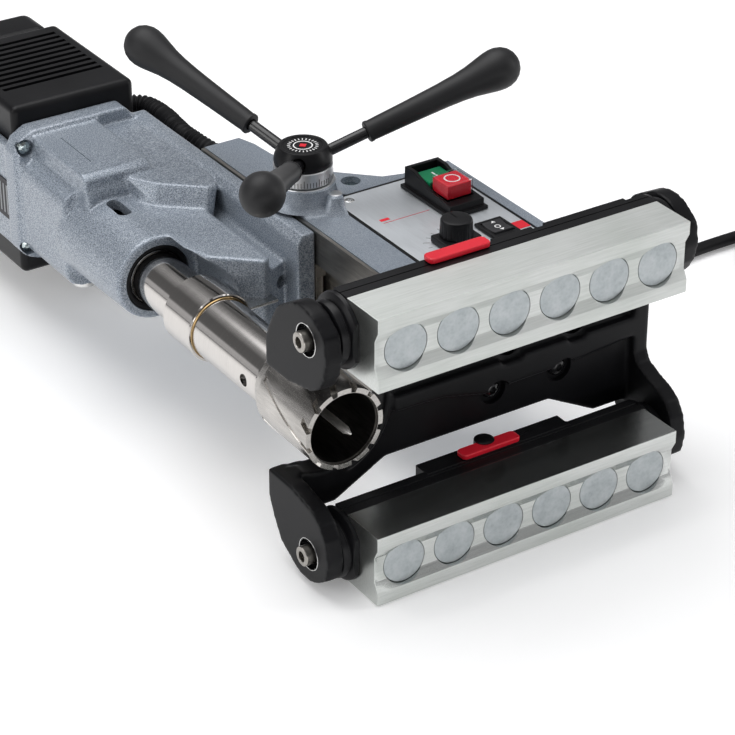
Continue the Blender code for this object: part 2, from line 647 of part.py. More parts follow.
def rack():
    """Bar with teeth on its +X side, cut by a row of gaps that mesh with the pinion at rest."""
    pitch, slope = pi * RACK_MODULE, tan(radians(20))
    line = CAPSTAN_X - RACK_MODULE * PINION_TEETH / 2
    tip, root = line + 0.8 * RACK_MODULE, line - 1.2 * RACK_MODULE
    gap = pitch / 4 + 0.1
    first = CAPSTAN_Y - 8.5 * pitch
    count = int((RACK_REAR_Y - 2 - first) / pitch) + 1
    narrow, wide = gap - (line - root) * slope, gap + (tip + 1 - line) * slope
    bar = block("rack", (RACK_BACK_X, RACK_FRONT_Y, -9), (tip, RACK_REAR_Y, 9), TOOL_STEEL)
    gaps = prism(
        "rack_gaps", [(root, first - narrow), (tip + 1, first - wide), (tip + 1, first + wide), (root, first + narrow)],
        "Z", -12, 12,
    )
    row = gaps.modifiers.new("Array", "ARRAY")
    row.count = count
    row.use_relative_offset = False
    row.use_constant_offset = True
    row.constant_offset_displace = (0, pitch * MM, 0)
    return cut(bar, gaps)


def motor():
    body = block("motor_housing", (MOTOR_LEFT_X, MOTOR_Y, -MOTOR_HALF), (MOTOR_RIGHT_X, MOTOR_END_Y, MOTOR_HALF),
                 BLACK_PLASTIC, 4.0, 2)
    cut(body, rod("motor_bore", (MOTOR_X, MOTOR_Y - 5, 0), "+Y", 42.0, 130, sides=32))
    cap = block("motor_end_cap", (MOTOR_LEFT_X + 3, MOTOR_END_Y + CLEAR, -MOTOR_HALF + 3),
                (MOTOR_RIGHT_X - 3, CAP_END_Y, MOTOR_HALF - 3), BLACK_PLASTIC, 8.0, 2)
    cut(cap, rod("cap_bore", (MOTOR_X, MOTOR_END_Y - 5, 0), "+Y", 38.0, 30, sides=32))
    stator = turned("motor_stator", (MOTOR_X, 0, 0), "-Y",
                    [(41.6, -470), (41.6, -540), (27.0, -540), (27.0, -470)], TOOL_STEEL, 32)
    return body, cap, stator


def armature():
    shaft = [
        (0, -402), (4.4, -402), (4.4, -418), (7, -418), (7, -455), (16, -456), (16, -470), (25.5, -472), (25.5, -538),
        (16, -540), (16, -556), (7, -558), (7, -584), (0, -584),
    ]
    body = turned("armature", (MOTOR_X, 0, 0), "-Y", shaft, COPPER, 24)
    phase = pi / ARMATURE_TEETH
    outline = gear_outline((MOTOR_X, 0), ARMATURE_TEETH, GEAR_MODULE, phase)
    return fuse(body, prism("armature_pinion", outline, "Y", 403, 417))


def rating_plate():
    return block("rating_plate", (-133.8, MOTOR_Y + 2, -17), (-132.9, 470.0, 17), PANEL_GREY)


def oil_plug():
    profile = [(0, -27.0), (4.9, -27.0), (4.9, -38.4), (8.5, -38.4), (8.5, -41.2), (7.5, -42.2), (0, -42.2)]
    return turned("oil_plug", (OIL_X, OIL_Y, 0), "+Z", profile, BRIGHT_STEEL, 24)


def spindle_seal():
    profile = [(23.4, -NOSE_Y - 1.0), (23.4, -NOSE_Y - 8), (17.6, -NOSE_Y - 8), (17.6, -NOSE_Y - 1.0)]
    return turned("spindle_seal", (SPINDLE_X, 0, 0), "-Y", profile, BLACK_PLASTIC)


def spindle_bearing():
    profile = [(23.4, -300), (23.4, -316), (17.6, -316), (17.6, -300)]
    return turned("spindle_bearing", (SPINDLE_X, 0, 0), "-Y", profile, BRIGHT_STEEL)


def spindle_line():
    spindle = turned(
        "spindle", (SPINDLE_X, 0, 0), "-Y",
        [(0, -300), (10.0, -300), (12.2, -228.3), (17.2, -228.3), (17.2, -402), (12, -402), (12, -424), (0, -424)],
        BRIGHT_STEEL,
    )
    arbor = turned(
        "arbor", (SPINDLE_X, 0, 0), "-Y",
        [(0, -160), (5.4, -160), (5.4, -CUTTER_SHANK_Y - 0.3), (20.8, -CUTTER_SHANK_Y - 0.3), (21.5, -118.3), (21.5, -195), (23.6, -195.4),
         (24, -196), (24, -227.4), (23.4, -228), (11.8, -228), (9.6, -299), (0, -299)],
        TOOL_STEEL,
    )
    cutter = turned(
        "cutter", (SPINDLE_X, 0, 0), "-Y",
        [(CUTTER_RADIUS - 3.2, -CUTTER_TIP_Y), (CUTTER_RADIUS, -CUTTER_TIP_Y), (CUTTER_RADIUS, -108),
         (22.0, -CUTTER_SHANK_Y), (5.3, -CUTTER_SHANK_Y), (5.3, -104), (CUTTER_RADIUS - 3.2, -104)],
        TOOL_STEEL, 36,
    )
    notches = [
        cutter_notch(i, 12) for i in range(12)
    ]
    cut(cutter, *notches)
    pin = turned(
        "pilot_pin", (SPINDLE_X, 0, 0), "-Y",
        [(0, -CUTTER_TIP_Y + 1), (3.8, -CUTTER_TIP_Y - 6), (3.8, -103), (5.0, -103), (5.0, -128), (0, -128)],
        BRIGHT_STEEL, 16,
    )
    outline = gear_outline((SPINDLE_X, 0), SPINDLE_TEETH, GEAR_MODULE, 0.0)
    gear = prism("spindle_gear", outline, "Y", 404, 416, TOOL_STEEL)
    cut(gear, rod("spindle_gear_bore", (SPINDLE_X, 400, 0), "+Y", 12.3, 30))
    return spindle, arbor, cutter, pin, gear


def cutter_notch(i, count):
    """A gullet between two teeth in the cutter's rim."""
    turn = 2 * pi * (i + 0.5) / count
    tool = block(f"cutter_notch_{i + 1}", (-4.5, -5, -2.2), (4.5, 5, 2.2))
    centre = (SPINDLE_X + CUTTER_RADIUS * cos(turn), CUTTER_TIP_Y, CUTTER_RADIUS * sin(turn))
    tool.matrix_world = Matrix.Translation((Vector(centre) + DATUM) * MM) @ Matrix.Rotation(-turn, 4, "Y")
    return tool


def conduit():
    """Corrugated cable sleeve from the housing's rear end to the motor."""
    out = Vector((36, 22, 0)).normalized()
    start = Vector((17.0, 289.0, 0.0)) + out * CLEAR
    route = [start, start + out * 5, start + out * 12, (33, 312, 0), (29, 336, 4), (15, 364, 11), (0, 388, 20), (-8, 412, 26),
             (-8, 440, 29), (-11, 460, 30), (-19, 469, 30), (-25, 470, 30), (MOTOR_RIGHT_X + CLEAR, 470, 30)]
    return tube("cable_conduit", smooth_route(route, 3), 8.0, BLACK_PLASTIC)


# ---------------------------------------------------------------- capstan

def capstan():
    axis = (CAPSTAN_X, CAPSTAN_Y, 0)
    shaft = turned(
        "capstan_shaft", axis, "+Z",
        [(0, 80), (7.0, 80), (7.0, 54), (8.0, 53), (8.0, -38), (0, -38)], BRIGHT_STEEL, 24,
    )
    pinion = prism("capstan_pinion", gear_outline((CAPSTAN_X, CAPSTAN_Y), PINION_TEETH, RACK_MODULE,
                   pi + pi / PINION_TEETH), "Z", -8.5, 8.5)
    fuse(shaft, pinion)
    dial = turned(
        "dial_ring", axis, "+Z", [(19.2, 72.6), (19.8, 72.1), (19.8, 62.4), (19.2, 61.9), (10.4, 61.9), (10.4, 72.6)],
        DIAL_SILVER, 32,
    )
    hub = turned(
        "capstan_hub", axis, "+Z",
        [(0, 85.8), (14.6, 85.8), (15.8, 84.8), (18.9, 78.8), (19.6, 76.2), (19.1, 73.5), (18.5, 72.9), (7.3, 72.9),
         (7.3, 80.3), (0, 80.3)],
        BLACK_PLASTIC, 32,
    )
    moving = [shaft, dial, hub]
    for i in range(3):
        turn = radians(FIRST_ARM + 120 * i)
        along = Matrix.Rotation(turn, 4, "Z") @ Matrix.Rotation(radians(90 - ARM_TILT), 4, "Y")
        way = rod(f"hub_arm_way_{i + 1}", (0, 0, 0), "+Z", 4.3, 40, sides=16)
        arm = rod(f"capstan_arm_{i + 1}", (0, 0, 0), "+Z", 4.0, 74, BRIGHT_STEEL, 16)
        grip = turned(
            f"capstan_grip_{i + 1}", (0, 0, 0), "+Z",
            [(0, 160.8), (6, 159.6), (11, 156), (14.2, 148), (13.6, 138), (9.6, 112), (7.6, 70), (7.0, 47),
             (4.4, 47), (4.4, 94), (0, 94)],
            BLACK_PLASTIC, 16,
        )
        here = Matrix.Translation((Vector((CAPSTAN_X, CAPSTAN_Y, ARM_Z)) + DATUM) * MM) @ along
        way.matrix_world = here @ Matrix.Translation((0, 0, 16.0 * MM))
        arm.matrix_world = here @ Matrix.Translation((0, 0, 16.3 * MM))
        grip.matrix_world = here
        cut(hub, way)
        moving += [arm, grip]
    hang(joint_empty("capstan_axis", axis), *moving)


# ---------------------------------------------------------------- cord

CORD_RADIUS = 4.7
CORD_Y, CORD_Z = 185.0, -10.0
COIL_X, COIL_Y, COIL_INNER, COIL_OUTER, COIL_THICK = 420.0, 183.6, 32.7, 71.3, 19.3
FLOOR_Z = -ARRAY_Z - SHOE_HEIGHT / 2
GLAND_END_X = 143.0


def smooth_route(points, count):
    """Catmull-Rom curve through the points, read at count places along each span."""
    path = [Vector(p) for p in points]
    path = [2 * path[0] - path[1]] + path + [2 * path[-1] - path[-2]]
    result = []
    for a, b, c, d in zip(path, path[1:], path[2:], path[3:]):
        for i in range(count):
            t = i / count
            result.append(0.5 * (2 * b + (c - a) * t + (2 * a - 5 * b + 4 * c - d) * t * t
                                 + (3 * b - a - 3 * c + d) * t ** 3))
    return result + [path[-2]]


def tube(name, points, radius, finish, resolution=2):
    curve = bpy.data.curves.new(name, "CURVE")
    curve.dimensions = "3D"
    curve.bevel_depth = radius * MM
    curve.bevel_resolution = resolution
    curve.use_fill_caps = True
    spline = curve.splines.new("POLY")
    spline.points.add(len(points) - 1)
    for target, point in zip(spline.points, points):
        target.co = (*((Vector(point) + DATUM) * MM), 1)
    obj = bpy.data.objects.new(name, curve)
    return adopt(obj, name, finish)


def cord():
    """Mains lead: tapered strain relief, the run to the floor, the coil of the rest, and the plug."""
    x = HOUSING_RIGHT_X + CLEAR
    turned(
        "cord_gland", (x, CORD_Y, CORD_Z), "+X",
        [(0, GLAND_END_X - x), (5.6, GLAND_END_X - x), (7.2, 9), (10.5, 8.5), (10.5, 0), (6.0, 0), (6.0, -8),
         (0, -8)],
        BLACK_PLASTIC, 20,
    )
    low = FLOOR_Z + CORD_RADIUS + 0.3
    route = [(GLAND_END_X + CLEAR, CORD_Y, CORD_Z), (149, 185, CORD_Z), (161, 185.5, -14), (176, 189, -33),
             (192, 197, -61), (210, 208, -83), (232, 220, low + 1.2), (262, 234, low), (300, 246, low),
             (340, 250, low), (383.5, 250, low)]
    tube("power_cord", smooth_route(route, 6), CORD_RADIUS, CORD_RUBBER)
    inner, outer = COIL_INNER, COIL_OUTER
    turned(
        "power_cord_coil", (COIL_X, COIL_Y, FLOOR_Z), "+Z",
        [(inner + 4, COIL_THICK), (outer - 4, COIL_THICK), (outer, COIL_THICK - 4), (outer, 4), (outer - 4, 0),
         (inner + 4, 0), (inner, 4), (inner, COIL_THICK - 4)],
        CORD_RUBBER, 32,
    )
    plug_y, plug_z = COIL_Y - COIL_OUTER + CORD_RADIUS + 0.2, FLOOR_Z + 17.8
    start = 383.3
    plug = turned(
        "power_plug", (start, plug_y, plug_z), "-X",
        [(0, 58), (15, 58), (17.5, 56), (17.5, 30), (11, 24), (7.5, 22), (5.8, 0), (0, 0)], BLACK_PLASTIC, 24,
    )
    fuse(plug, *[
        rod(f"plug_pin_{i}", (start - 57, plug_y, plug_z + offset), "-X", 2.4, 19, sides=12)
        for i, offset in enumerate((-9.5, 9.5))
    ])


# ---------------------------------------------------------------- assembly

def assemble():
    magnet_arrays()
    magnet_bracket()
    bracket_screws()
    frame_housing()
    slide_way()
    gib_strip()
    side_cover()
    control_panel()
    switch_box()
    switch_buttons()
    speed_knob()
    direction_switch()
    circuit_board()
    hang(joint_empty("feed_axis", (SPINDLE_X, CARRIAGE_FRONT_Y, 0)), gear_case(), dovetail_slide(), rack(),
         *motor(), rating_plate(), oil_plug(), spindle_seal(), spindle_bearing())
    hang(joint_empty("spindle_axis", (SPINDLE_X, NOSE_Y, 0)), *spindle_line())
    hang(joint_empty("armature_axis", (MOTOR_X, MOTOR_Y, 0)), armature())
    conduit()
    capstan()
    cord()


assemble()
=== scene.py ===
"""Magnetic drill press for pipes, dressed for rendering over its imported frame.

Lengths are in millimetres from the machine's datum: X along the pole bars from their middle, Y back
from their front plane, Z up from the mid-plane between the two arrays.
"""

from math import cos, pi, radians, sin

import bmesh
import bpy
from mathutils import Matrix, Vector

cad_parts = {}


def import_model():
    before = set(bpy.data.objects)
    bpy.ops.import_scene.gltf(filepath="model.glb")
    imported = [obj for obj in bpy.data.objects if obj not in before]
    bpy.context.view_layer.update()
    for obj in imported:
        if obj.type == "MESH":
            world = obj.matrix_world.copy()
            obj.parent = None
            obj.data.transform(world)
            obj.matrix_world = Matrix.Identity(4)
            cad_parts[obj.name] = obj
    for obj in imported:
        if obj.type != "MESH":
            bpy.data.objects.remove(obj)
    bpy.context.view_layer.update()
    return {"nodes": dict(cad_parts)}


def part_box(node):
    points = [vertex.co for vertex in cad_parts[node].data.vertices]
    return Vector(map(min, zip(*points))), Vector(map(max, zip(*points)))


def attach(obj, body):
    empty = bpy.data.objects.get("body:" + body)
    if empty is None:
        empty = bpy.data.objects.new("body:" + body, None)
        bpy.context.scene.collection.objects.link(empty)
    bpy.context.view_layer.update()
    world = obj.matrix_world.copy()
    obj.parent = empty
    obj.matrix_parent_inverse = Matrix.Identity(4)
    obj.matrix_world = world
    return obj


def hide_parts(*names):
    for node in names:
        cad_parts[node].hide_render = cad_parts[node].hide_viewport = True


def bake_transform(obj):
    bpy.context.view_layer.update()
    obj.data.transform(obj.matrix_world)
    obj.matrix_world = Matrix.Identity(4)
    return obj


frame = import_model()

MM = 0.001
SHOE_LOW, SHOE_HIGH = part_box("lower_pole_shoe")[0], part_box("upper_pole_shoe")[1]
DATUM = Vector((0.0, SHOE_LOW[1], (SHOE_LOW[2] + SHOE_HIGH[2]) / 2))
FLOOR = -DATUM.z / MM

X, Y, Z = Vector((1, 0, 0)), Vector((0, 1, 0)), Vector((0, 0, 1))

ARRAY_Z = 74.8  # height of the upper array's middle; the lower one lies as far below
PIVOT_Y = 40.5  # the arrays' pivot bolts
HANDS = ((-1, "left"), (1, "right"))
SPINDLE = Vector((-106.2, 0, 0))
CAPSTAN = Vector((-11.5, 245.5, 0))
PANEL_Z = 45.0
KNOB = (39, 141)
ROCKER = (71, 140)


# ---- camera

def world(point):
    return Vector(point) * MM + DATUM


def camera():
    lens = bpy.data.cameras.new("camera")
    lens.lens, lens.sensor_width = 132.13, 36.0
    lens.clip_start, lens.clip_end = 0.05, 50.0
    obj = bpy.data.objects.new("camera", lens)
    bpy.context.scene.collection.objects.link(obj)
    obj.location = (-0.85151, -1.41861, 0.94745)
    obj.rotation_euler = (radians(90 - 30.19), 0.0, radians(-33.14))
    bpy.context.scene.camera = obj


camera()


# ---- mesh building

def build(name, work):
    """Turns a bmesh in datum millimetres into an object in metres."""
    bmesh.ops.recalc_face_normals(work, faces=work.faces)
    for vert in work.verts:
        vert.co = world(vert.co)
    mesh = bpy.data.meshes.new(name)
    work.to_mesh(mesh)
    work.free()
    obj = bpy.data.objects.new(name, mesh)
    bpy.context.scene.collection.objects.link(obj)
    return obj


def bake(obj):
    """Applies the modifiers."""
    bpy.context.view_layer.update()
    graph = bpy.context.evaluated_depsgraph_get()
    mesh = bpy.data.meshes.new_from_object(obj.evaluated_get(graph))
    obj.modifiers.clear()
    old, obj.data = obj.data, mesh
    bpy.data.meshes.remove(old)
    return obj


def boolean(obj, operation, tools):
    for tool in tools:
        modifier = obj.modifiers.new(operation, "BOOLEAN")
        modifier.operation = operation
        modifier.solver = "EXACT"
        modifier.object = tool
    bake(obj)
    for tool in tools:
        bpy.data.objects.remove(tool, do_unlink=True)
    return obj


def cut(obj, *tools):
    return boolean(obj, "DIFFERENCE", tools)


def fuse(obj, *tools):
    return boolean(obj, "UNION", tools)


def keep(obj, *tools):
    return boolean(obj, "INTERSECT", tools)


def bevel(obj, width, segments=3):
    """Rounds the edges that bend by more than 30 degrees."""
    modifier = obj.modifiers.new("bevel", "BEVEL")
    modifier.width = width * MM
    modifier.segments = segments
    modifier.limit_method = "ANGLE"
    modifier.angle_limit = radians(30)
    return bake(obj)


def soften(obj, voxel, passes):
    """Melts the edges as a casting's are: voxels, then smoothing."""
    remesh = obj.modifiers.new("remesh", "REMESH")
    remesh.mode = "VOXEL"
    remesh.voxel_size = voxel * MM
    smooth = obj.modifiers.new("smooth", "SMOOTH")
    smooth.factor = 0.5
    smooth.iterations = passes
    return bake(obj)


def box(name, low, high, rounding=0.0, segments=3):
    low, high = Vector(low), Vector(high)
    work = bmesh.new()
    bmesh.ops.create_cube(work, size=1.0)
    bmesh.ops.scale(work, vec=high - low, verts=work.verts)
    bmesh.ops.translate(work, vec=(low + high) / 2, verts=work.verts)
    obj = build(name, work)
    return bevel(obj, rounding, segments) if rounding else obj


def towards(axis):
    return Z.rotation_difference(Vector(axis)).to_matrix().to_4x4()


def turned(name, point, axis, profile, sides=64, whole=True):
    """A (radius, height) profile turned about an axis through point. Its ends close on the axis, or on
    each other where whole is False."""
    work = bmesh.new()
    place = Matrix.Translation(Vector(point)) @ towards(axis)
    turns = [2 * pi * i / sides for i in range(sides)]
    rings = []
    for radius, height in profile:
        ring = [(radius * cos(turn), radius * sin(turn), height) for turn in turns] if radius else [(0, 0, height)]
        rings.append([work.verts.new(place @ Vector(corner)) for corner in ring])
    pairs = list(zip(rings, rings[1:])) + ([] if whole else [(rings[-1], rings[0])])
    for first, second in pairs:
        a, b = len(first), len(second)
        for i in range(sides):
            j = (i + 1) % sides
            corners = list(dict.fromkeys((first[i % a], first[j % a], second[j % b], second[i % b])))
            if len(corners) > 2:
                work.faces.new(corners)
    if whole:
        for ring in (rings[0], rings[-1]):
            if len(ring) > 1:
                work.faces.new(ring)
    return build(name, work)


def rod(name, point, axis, radius, length, sides=48):
    return turned(name, point, axis, [(radius, 0), (radius, length)], sides)


def prism(name, outline, axis, low, high, rounding=0.0, segments=3):
    """A flat outline extruded along an axis; its coordinates are the other two, in X, Y, Z order."""
    order = {"X": (2, 0, 1), "Y": (0, 2, 1), "Z": (0, 1, 2)}[axis]
    work = bmesh.new()
    ends = [[work.verts.new([(a, b, c)[k] for k in order]) for a, b in outline] for c in (low, high)]
    for end in ends:
        work.faces.new(end)
    count = len(outline)
    for i in range(count):
        j = (i + 1) % count
        work.faces.new((ends[0][i], ends[0][j], ends[1][j], ends[1][i]))
    obj = build(name, work)
    return bevel(obj, rounding, segments) if rounding else obj


def arc(centre, radius, start, end, steps):
    turns = [radians(start + (end - start) * i / steps) for i in range(steps + 1)]
    return [(centre[0] + radius * cos(t), centre[1] + radius * sin(t)) for t in turns]


def rounded(low, high, radius, steps=6):
    """A rectangle's outline with round corners."""
    (x0, y0), (x1, y1) = low, high
    r = radius
    return (
        arc((x1 - r, y1 - r), r, 0, 90, steps) + arc((x0 + r, y1 - r), r, 90, 180, steps)
        + arc((x0 + r, y0 + r), r, 180, 270, steps) + arc((x1 - r, y0 + r), r, 270, 360, steps)
    )


def smooth_route(points, count):
    """Catmull-Rom curve through the points, read at count places along each span."""
    path = [Vector(p) for p in points]
    path = [2 * path[0] - path[1]] + path + [2 * path[-1] - path[-2]]
    result = []
    for a, b, c, d in zip(path, path[1:], path[2:], path[3:]):
        for i in range(count):
            t = i / count
            result.append(0.5 * (2 * b + (c - a) * t + (2 * a - 5 * b + 4 * c - d) * t * t
                                 + (3 * b - a - 3 * c + d) * t ** 3))
    return result + [path[-2]]


def skin(name, work, rings):
    """Joins rings of equal count into a tube with closed ends."""
    count = len(rings[0])
    for first, second in zip(rings, rings[1:]):
        for i in range(count):
            j = (i + 1) % count
            work.faces.new((first[i], first[j], second[j], second[i]))
    work.faces.new(rings[0])
    work.faces.new(rings[-1])
    return build(name, work)


def tube(name, points, radii, sides=16):
    """A tube along points, one radius for each, its frame carried along without twist."""
    work = bmesh.new()
    turns = [2 * pi * k / sides for k in range(sides)]
    rings = []
    normal = None
    for i, point in enumerate(points):
        along = (points[min(i + 1, len(points) - 1)] - points[max(i - 1, 0)]).normalized()
        if normal is None:
            normal = along.cross(Z if abs(along.z) < 0.9 else X).normalized()
        normal = (normal - along * normal.dot(along)).normalized()
        side = along.cross(normal)
        spokes = [normal * cos(turn) + side * sin(turn) for turn in turns]
        rings.append([work.verts.new(point + spoke * radii[i]) for spoke in spokes])
    return skin(name, work, rings)


MOST_WEIGHTED = 20000  # a mesh with more faces than this is a softened casting, with no flats to weight


def done(obj, material, body, replaces=(), sharp=35):
    """Paints and shades a finished piece, mounts it on its body and hides the parts it replaces. Edges that bend by
    more than sharp degrees stay crisp. Without a body, it is left unmounted."""
    obj.data.materials.clear()
    obj.data.materials.append(material)
    obj.data.shade_smooth()
    obj.data.set_sharp_from_angle(angle=radians(sharp))
    if body and len(obj.data.polygons) < MOST_WEIGHTED:
        flat = obj.modifiers.new("normals", "WEIGHTED_NORMAL")
        flat.keep_sharp = True
        bake(obj)
    if body:
        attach(obj, body)
    if replaces:
        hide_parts(*replaces)


# ---- materials

class Nodes:
    """A material's or a world's nodes, added one at a time."""

    def __init__(self, owner):
        owner.use_nodes = True
        self.tree = owner.node_tree

    def feed(self, node, inputs):
        """Sets each input of a node to a value, or links it to another node's output."""
        for key, source in inputs.items():
            if isinstance(source, bpy.types.NodeSocket):
                self.tree.links.new(source, node.inputs[key])
            else:
                node.inputs[key].default_value = source

    def node(self, kind, inputs, **settings):
        made = self.tree.nodes.new(kind)
        for key, value in settings.items():
            setattr(made, key, value)
        self.feed(made, inputs)
        return made

    def ramp(self, source, *stops):
        """Each stop is a position with a colour or a grey level."""
        made = self.node("ShaderNodeValToRGB", {"Fac": source})
        elements = made.color_ramp.elements
        for position, _ in stops[1:-1]:
            elements.new(position)
        for element, (position, colour) in zip(elements, stops):
            element.position = position
            element.color = (*colour, 1) if isinstance(colour, tuple) else (colour, colour, colour, 1)
        return made.outputs["Color"]


class Paint(Nodes):
    """A Principled material."""

    def __init__(self, name, colour, roughness, metallic=0.0, coat=0.0):
        self.material = bpy.data.materials.new(name)
        super().__init__(self.material)
        self.shader = self.tree.nodes["Principled BSDF"]
        self.feed(self.shader, {"Base Color": (*colour, 1), "Roughness": roughness, "Metallic": metallic,
                                "Coat Weight": coat, "Coat Roughness": 0.25})
        self.bumped = None

    def place(self, stretch=(1, 1, 1)):
        here = self.node("ShaderNodeTexCoord", {}).outputs["Object"]
        return self.node("ShaderNodeMapping", {"Vector": here, "Scale": stretch}).outputs["Vector"]

    def noise(self, scale, detail=2.0, stretch=(1, 1, 1), roughness=0.5):
        inputs = {"Vector": self.place(stretch), "Scale": scale, "Detail": detail, "Roughness": roughness}
        return self.node("ShaderNodeTexNoise", inputs).outputs["Fac"]

    def cells(self, scale):
        return self.node("ShaderNodeTexVoronoi", {"Vector": self.place(), "Scale": scale}).outputs["Distance"]

    def mix(self, amount, first, second, blend="MIX"):
        inputs = {0: amount, 6: first, 7: second}
        return self.node("ShaderNodeMix", inputs, data_type="RGBA", blend_type=blend).outputs[2]

    def colour(self, source):
        self.feed(self.shader, {"Base Color": source})

    def gloss(self, source, low, high):
        made = self.node("ShaderNodeMapRange", {"Value": source, "To Min": low, "To Max": high})
        self.feed(self.shader, {"Roughness": made.outputs["Result"]})

    def bump(self, source, strength, depth):
        """Adds a bump, depth in millimetres, on top of those before it."""
        made = self.node("ShaderNodeBump", {"Strength": strength, "Distance": depth * MM, "Height": source})
        if self.bumped is not None:
            self.feed(made, {"Normal": self.bumped})
        self.bumped = made.outputs["Normal"]
        self.feed(self.shader, {"Normal": self.bumped})


def hammertone(name, scale, dark, middle, light):
    """Hammered paint: glossy specks in three tones over soft dimples."""
    paint = Paint(name, middle, 0.36, 0.25, 0.3)
    speck = paint.noise(scale, 3.0, roughness=0.62)
    broad = paint.noise(14, 2.0)
    fine = paint.ramp(speck, (0.36, dark), (0.5, middle), (0.62, light))
    tone = paint.ramp(broad, (0.35, (0.86, 0.88, 0.9)), (0.7, (1.0, 1.0, 1.0)))
    paint.colour(paint.mix(1.0, fine, tone, "MULTIPLY"))
    paint.gloss(speck, 0.26, 0.5)
    paint.bump(paint.noise(620, 2.0), 0.45, 0.22)
    paint.bump(speck, 0.25, 0.08)
    return paint.material


def moulded(name, colour, roughness, grain=1400, strength=0.16, wear=0.25, coat=0.0, shine=0.5):
    """Moulded plastic or powder coat: fine grain, and slow changes of tone and gloss."""
    paint = Paint(name, colour, roughness, 0.0, coat)
    paint.feed(paint.shader, {"Specular IOR Level": shine})
    broad = paint.noise(22, 3.0)
    lighter = tuple(min(1.0, c * (1 + wear) + 0.002) for c in colour)
    darker = tuple(c * (1 - wear) for c in colour)
    paint.colour(paint.ramp(broad, (0.3, darker), (0.7, lighter)))
    paint.gloss(broad, roughness - 0.06, roughness + 0.08)
    paint.bump(paint.noise(grain, 2.0), strength, 0.06)
    return paint.material


def metal(name, colour, roughness, stretch, scale=900, contrast=0.12, strength=0.06, spots=0.0):
    """Machined metal with its tool marks drawn out across the stretched axes."""
    paint = Paint(name, colour, roughness, 1.0)
    lines = paint.noise(scale, 3.0, stretch, 0.6)
    broad = paint.noise(30, 3.0)
    low = tuple(c * (1 - contrast) for c in colour)
    high = tuple(min(1.0, c * (1 + contrast)) for c in colour)
    base = paint.ramp(lines, (0.3, low), (0.7, high))
    if spots:
        base = paint.mix(1.0, base, paint.ramp(broad, (0.3, 1 - spots), (0.65, 1.0)), "MULTIPLY")
    paint.colour(base)
    paint.gloss(lines, roughness * 0.75, roughness * 1.3)
    paint.bump(lines, strength, 0.05)
    return paint.material


def zinc():
    """Mottled zinc skin of the magnets' faces."""
    paint = Paint("zinc", (0.55, 0.6, 0.64), 0.45, 0.75)
    blotch = paint.noise(95, 6.0, roughness=0.68)
    flecks = paint.cells(420)
    base = paint.ramp(blotch, (0.32, (0.32, 0.36, 0.38)), (0.5, (0.42, 0.465, 0.48)),
                      (0.68, (0.51, 0.55, 0.565)))
    paint.colour(paint.mix(0.25, base, paint.ramp(flecks, (0.1, 0.36), (0.6, 0.5))))
    paint.gloss(blotch, 0.36, 0.62)
    paint.bump(blotch, 0.12, 0.12)
    return paint.material


def shoe_steel(name, smooth, rough):
    """Ground pole steel: long grinding marks, with a slight green-grey cast."""
    paint = Paint(name, (0.6, 0.62, 0.6), 0.34, 1.0)
    lines = paint.noise(700, 4.0, (0.05, 1, 1), 0.6)
    broad = paint.noise(18, 3.0)
    base = paint.ramp(lines, (0.3, (0.575, 0.59, 0.575)), (0.5, (0.63, 0.645, 0.63)),
                      (0.7, (0.68, 0.69, 0.68)))
    tone = paint.ramp(broad, (0.3, (0.88, 0.9, 0.88)), (0.7, (1, 1, 1)))
    paint.colour(paint.mix(1.0, base, tone, "MULTIPLY"))
    paint.gloss(lines, smooth, rough)
    paint.bump(lines, 0.02, 0.04)
    return paint.material


def clear_plastic():
    paint = Paint("clear_cover", (0.95, 0.97, 0.97), 0.12)
    paint.gloss(paint.noise(60, 2.0), 0.08, 0.16)
    paint.feed(paint.shader, {"Transmission Weight": 1.0, "IOR": 1.12})
    return paint.material


HAMMERTONE = hammertone("hammertone", 1250, (0.105, 0.127, 0.157), (0.265, 0.302, 0.352), (0.47, 0.51, 0.56))
HOUSING_PAINT = hammertone("housing_hammertone", 1700, (0.155, 0.18, 0.216), (0.26, 0.295, 0.342),
                           (0.38, 0.42, 0.47))
# a dark steel used only to paint the shade inside the cutter's bore
BORE_SHADE_STEEL = metal("bore_shade_steel", (0.10, 0.095, 0.09), 0.4, (1, 0.1, 1), 700, 0.3, 0.06, 0.2)
CAST_BLACK = moulded("cast_black", (0.004, 0.004, 0.005), 0.4, 900, 0.2, shine=0.14)
BLACK = moulded("black_moulding", (0.005, 0.005, 0.006), 0.36, 1500, 0.12, shine=0.2)
DARK_GREY = moulded("dark_grey_moulding", (0.025, 0.025, 0.028), 0.5, 1500, 0.12, shine=0.3)
GLOSS_BLACK = moulded("gloss_black", (0.005, 0.005, 0.006), 0.22, 500, 0.05, coat=0.25, shine=0.4)
RUBBER = moulded("black_rubber", (0.006, 0.006, 0.007), 0.55, 700, 0.2, shine=0.2)
RED = moulded("red_moulding", (0.72, 0.012, 0.03), 0.34, 1200, 0.06, 0.08)
GREEN = moulded("green_moulding", (0.0, 0.22, 0.085), 0.34, 1200, 0.06, 0.08)
WHITE = moulded("white_print", (0.85, 0.85, 0.85), 0.5, 1200, 0.02, 0.03)
GREY_PRINT = moulded("grey_print", (0.25, 0.26, 0.27), 0.5, 1200, 0.02, 0.03)
BOARD = moulded("circuit_board", (0.01, 0.11, 0.05), 0.4, 800, 0.1)
COPPER = metal("copper_winding", (0.6, 0.27, 0.12), 0.4, (1, 0.08, 1), 1800, 0.25, 0.4)
SHOES = {"upper": shoe_steel("upper_shoe_steel", 0.48, 0.56),
         "lower": shoe_steel("lower_shoe_steel", 0.17, 0.24),
         "end": shoe_steel("shoe_end_steel", 0.27, 0.34)}
# bright pin steel, made lighter than the other steels as painted light, so the pilot pin reads lit inside the dark
# bore
PIN_STEEL_LIT = metal("pin_steel_lit", (0.85, 0.83, 0.79), 0.5, (1, 0.1, 1), 700, 0.08, 0.03)
ZINC = zinc()
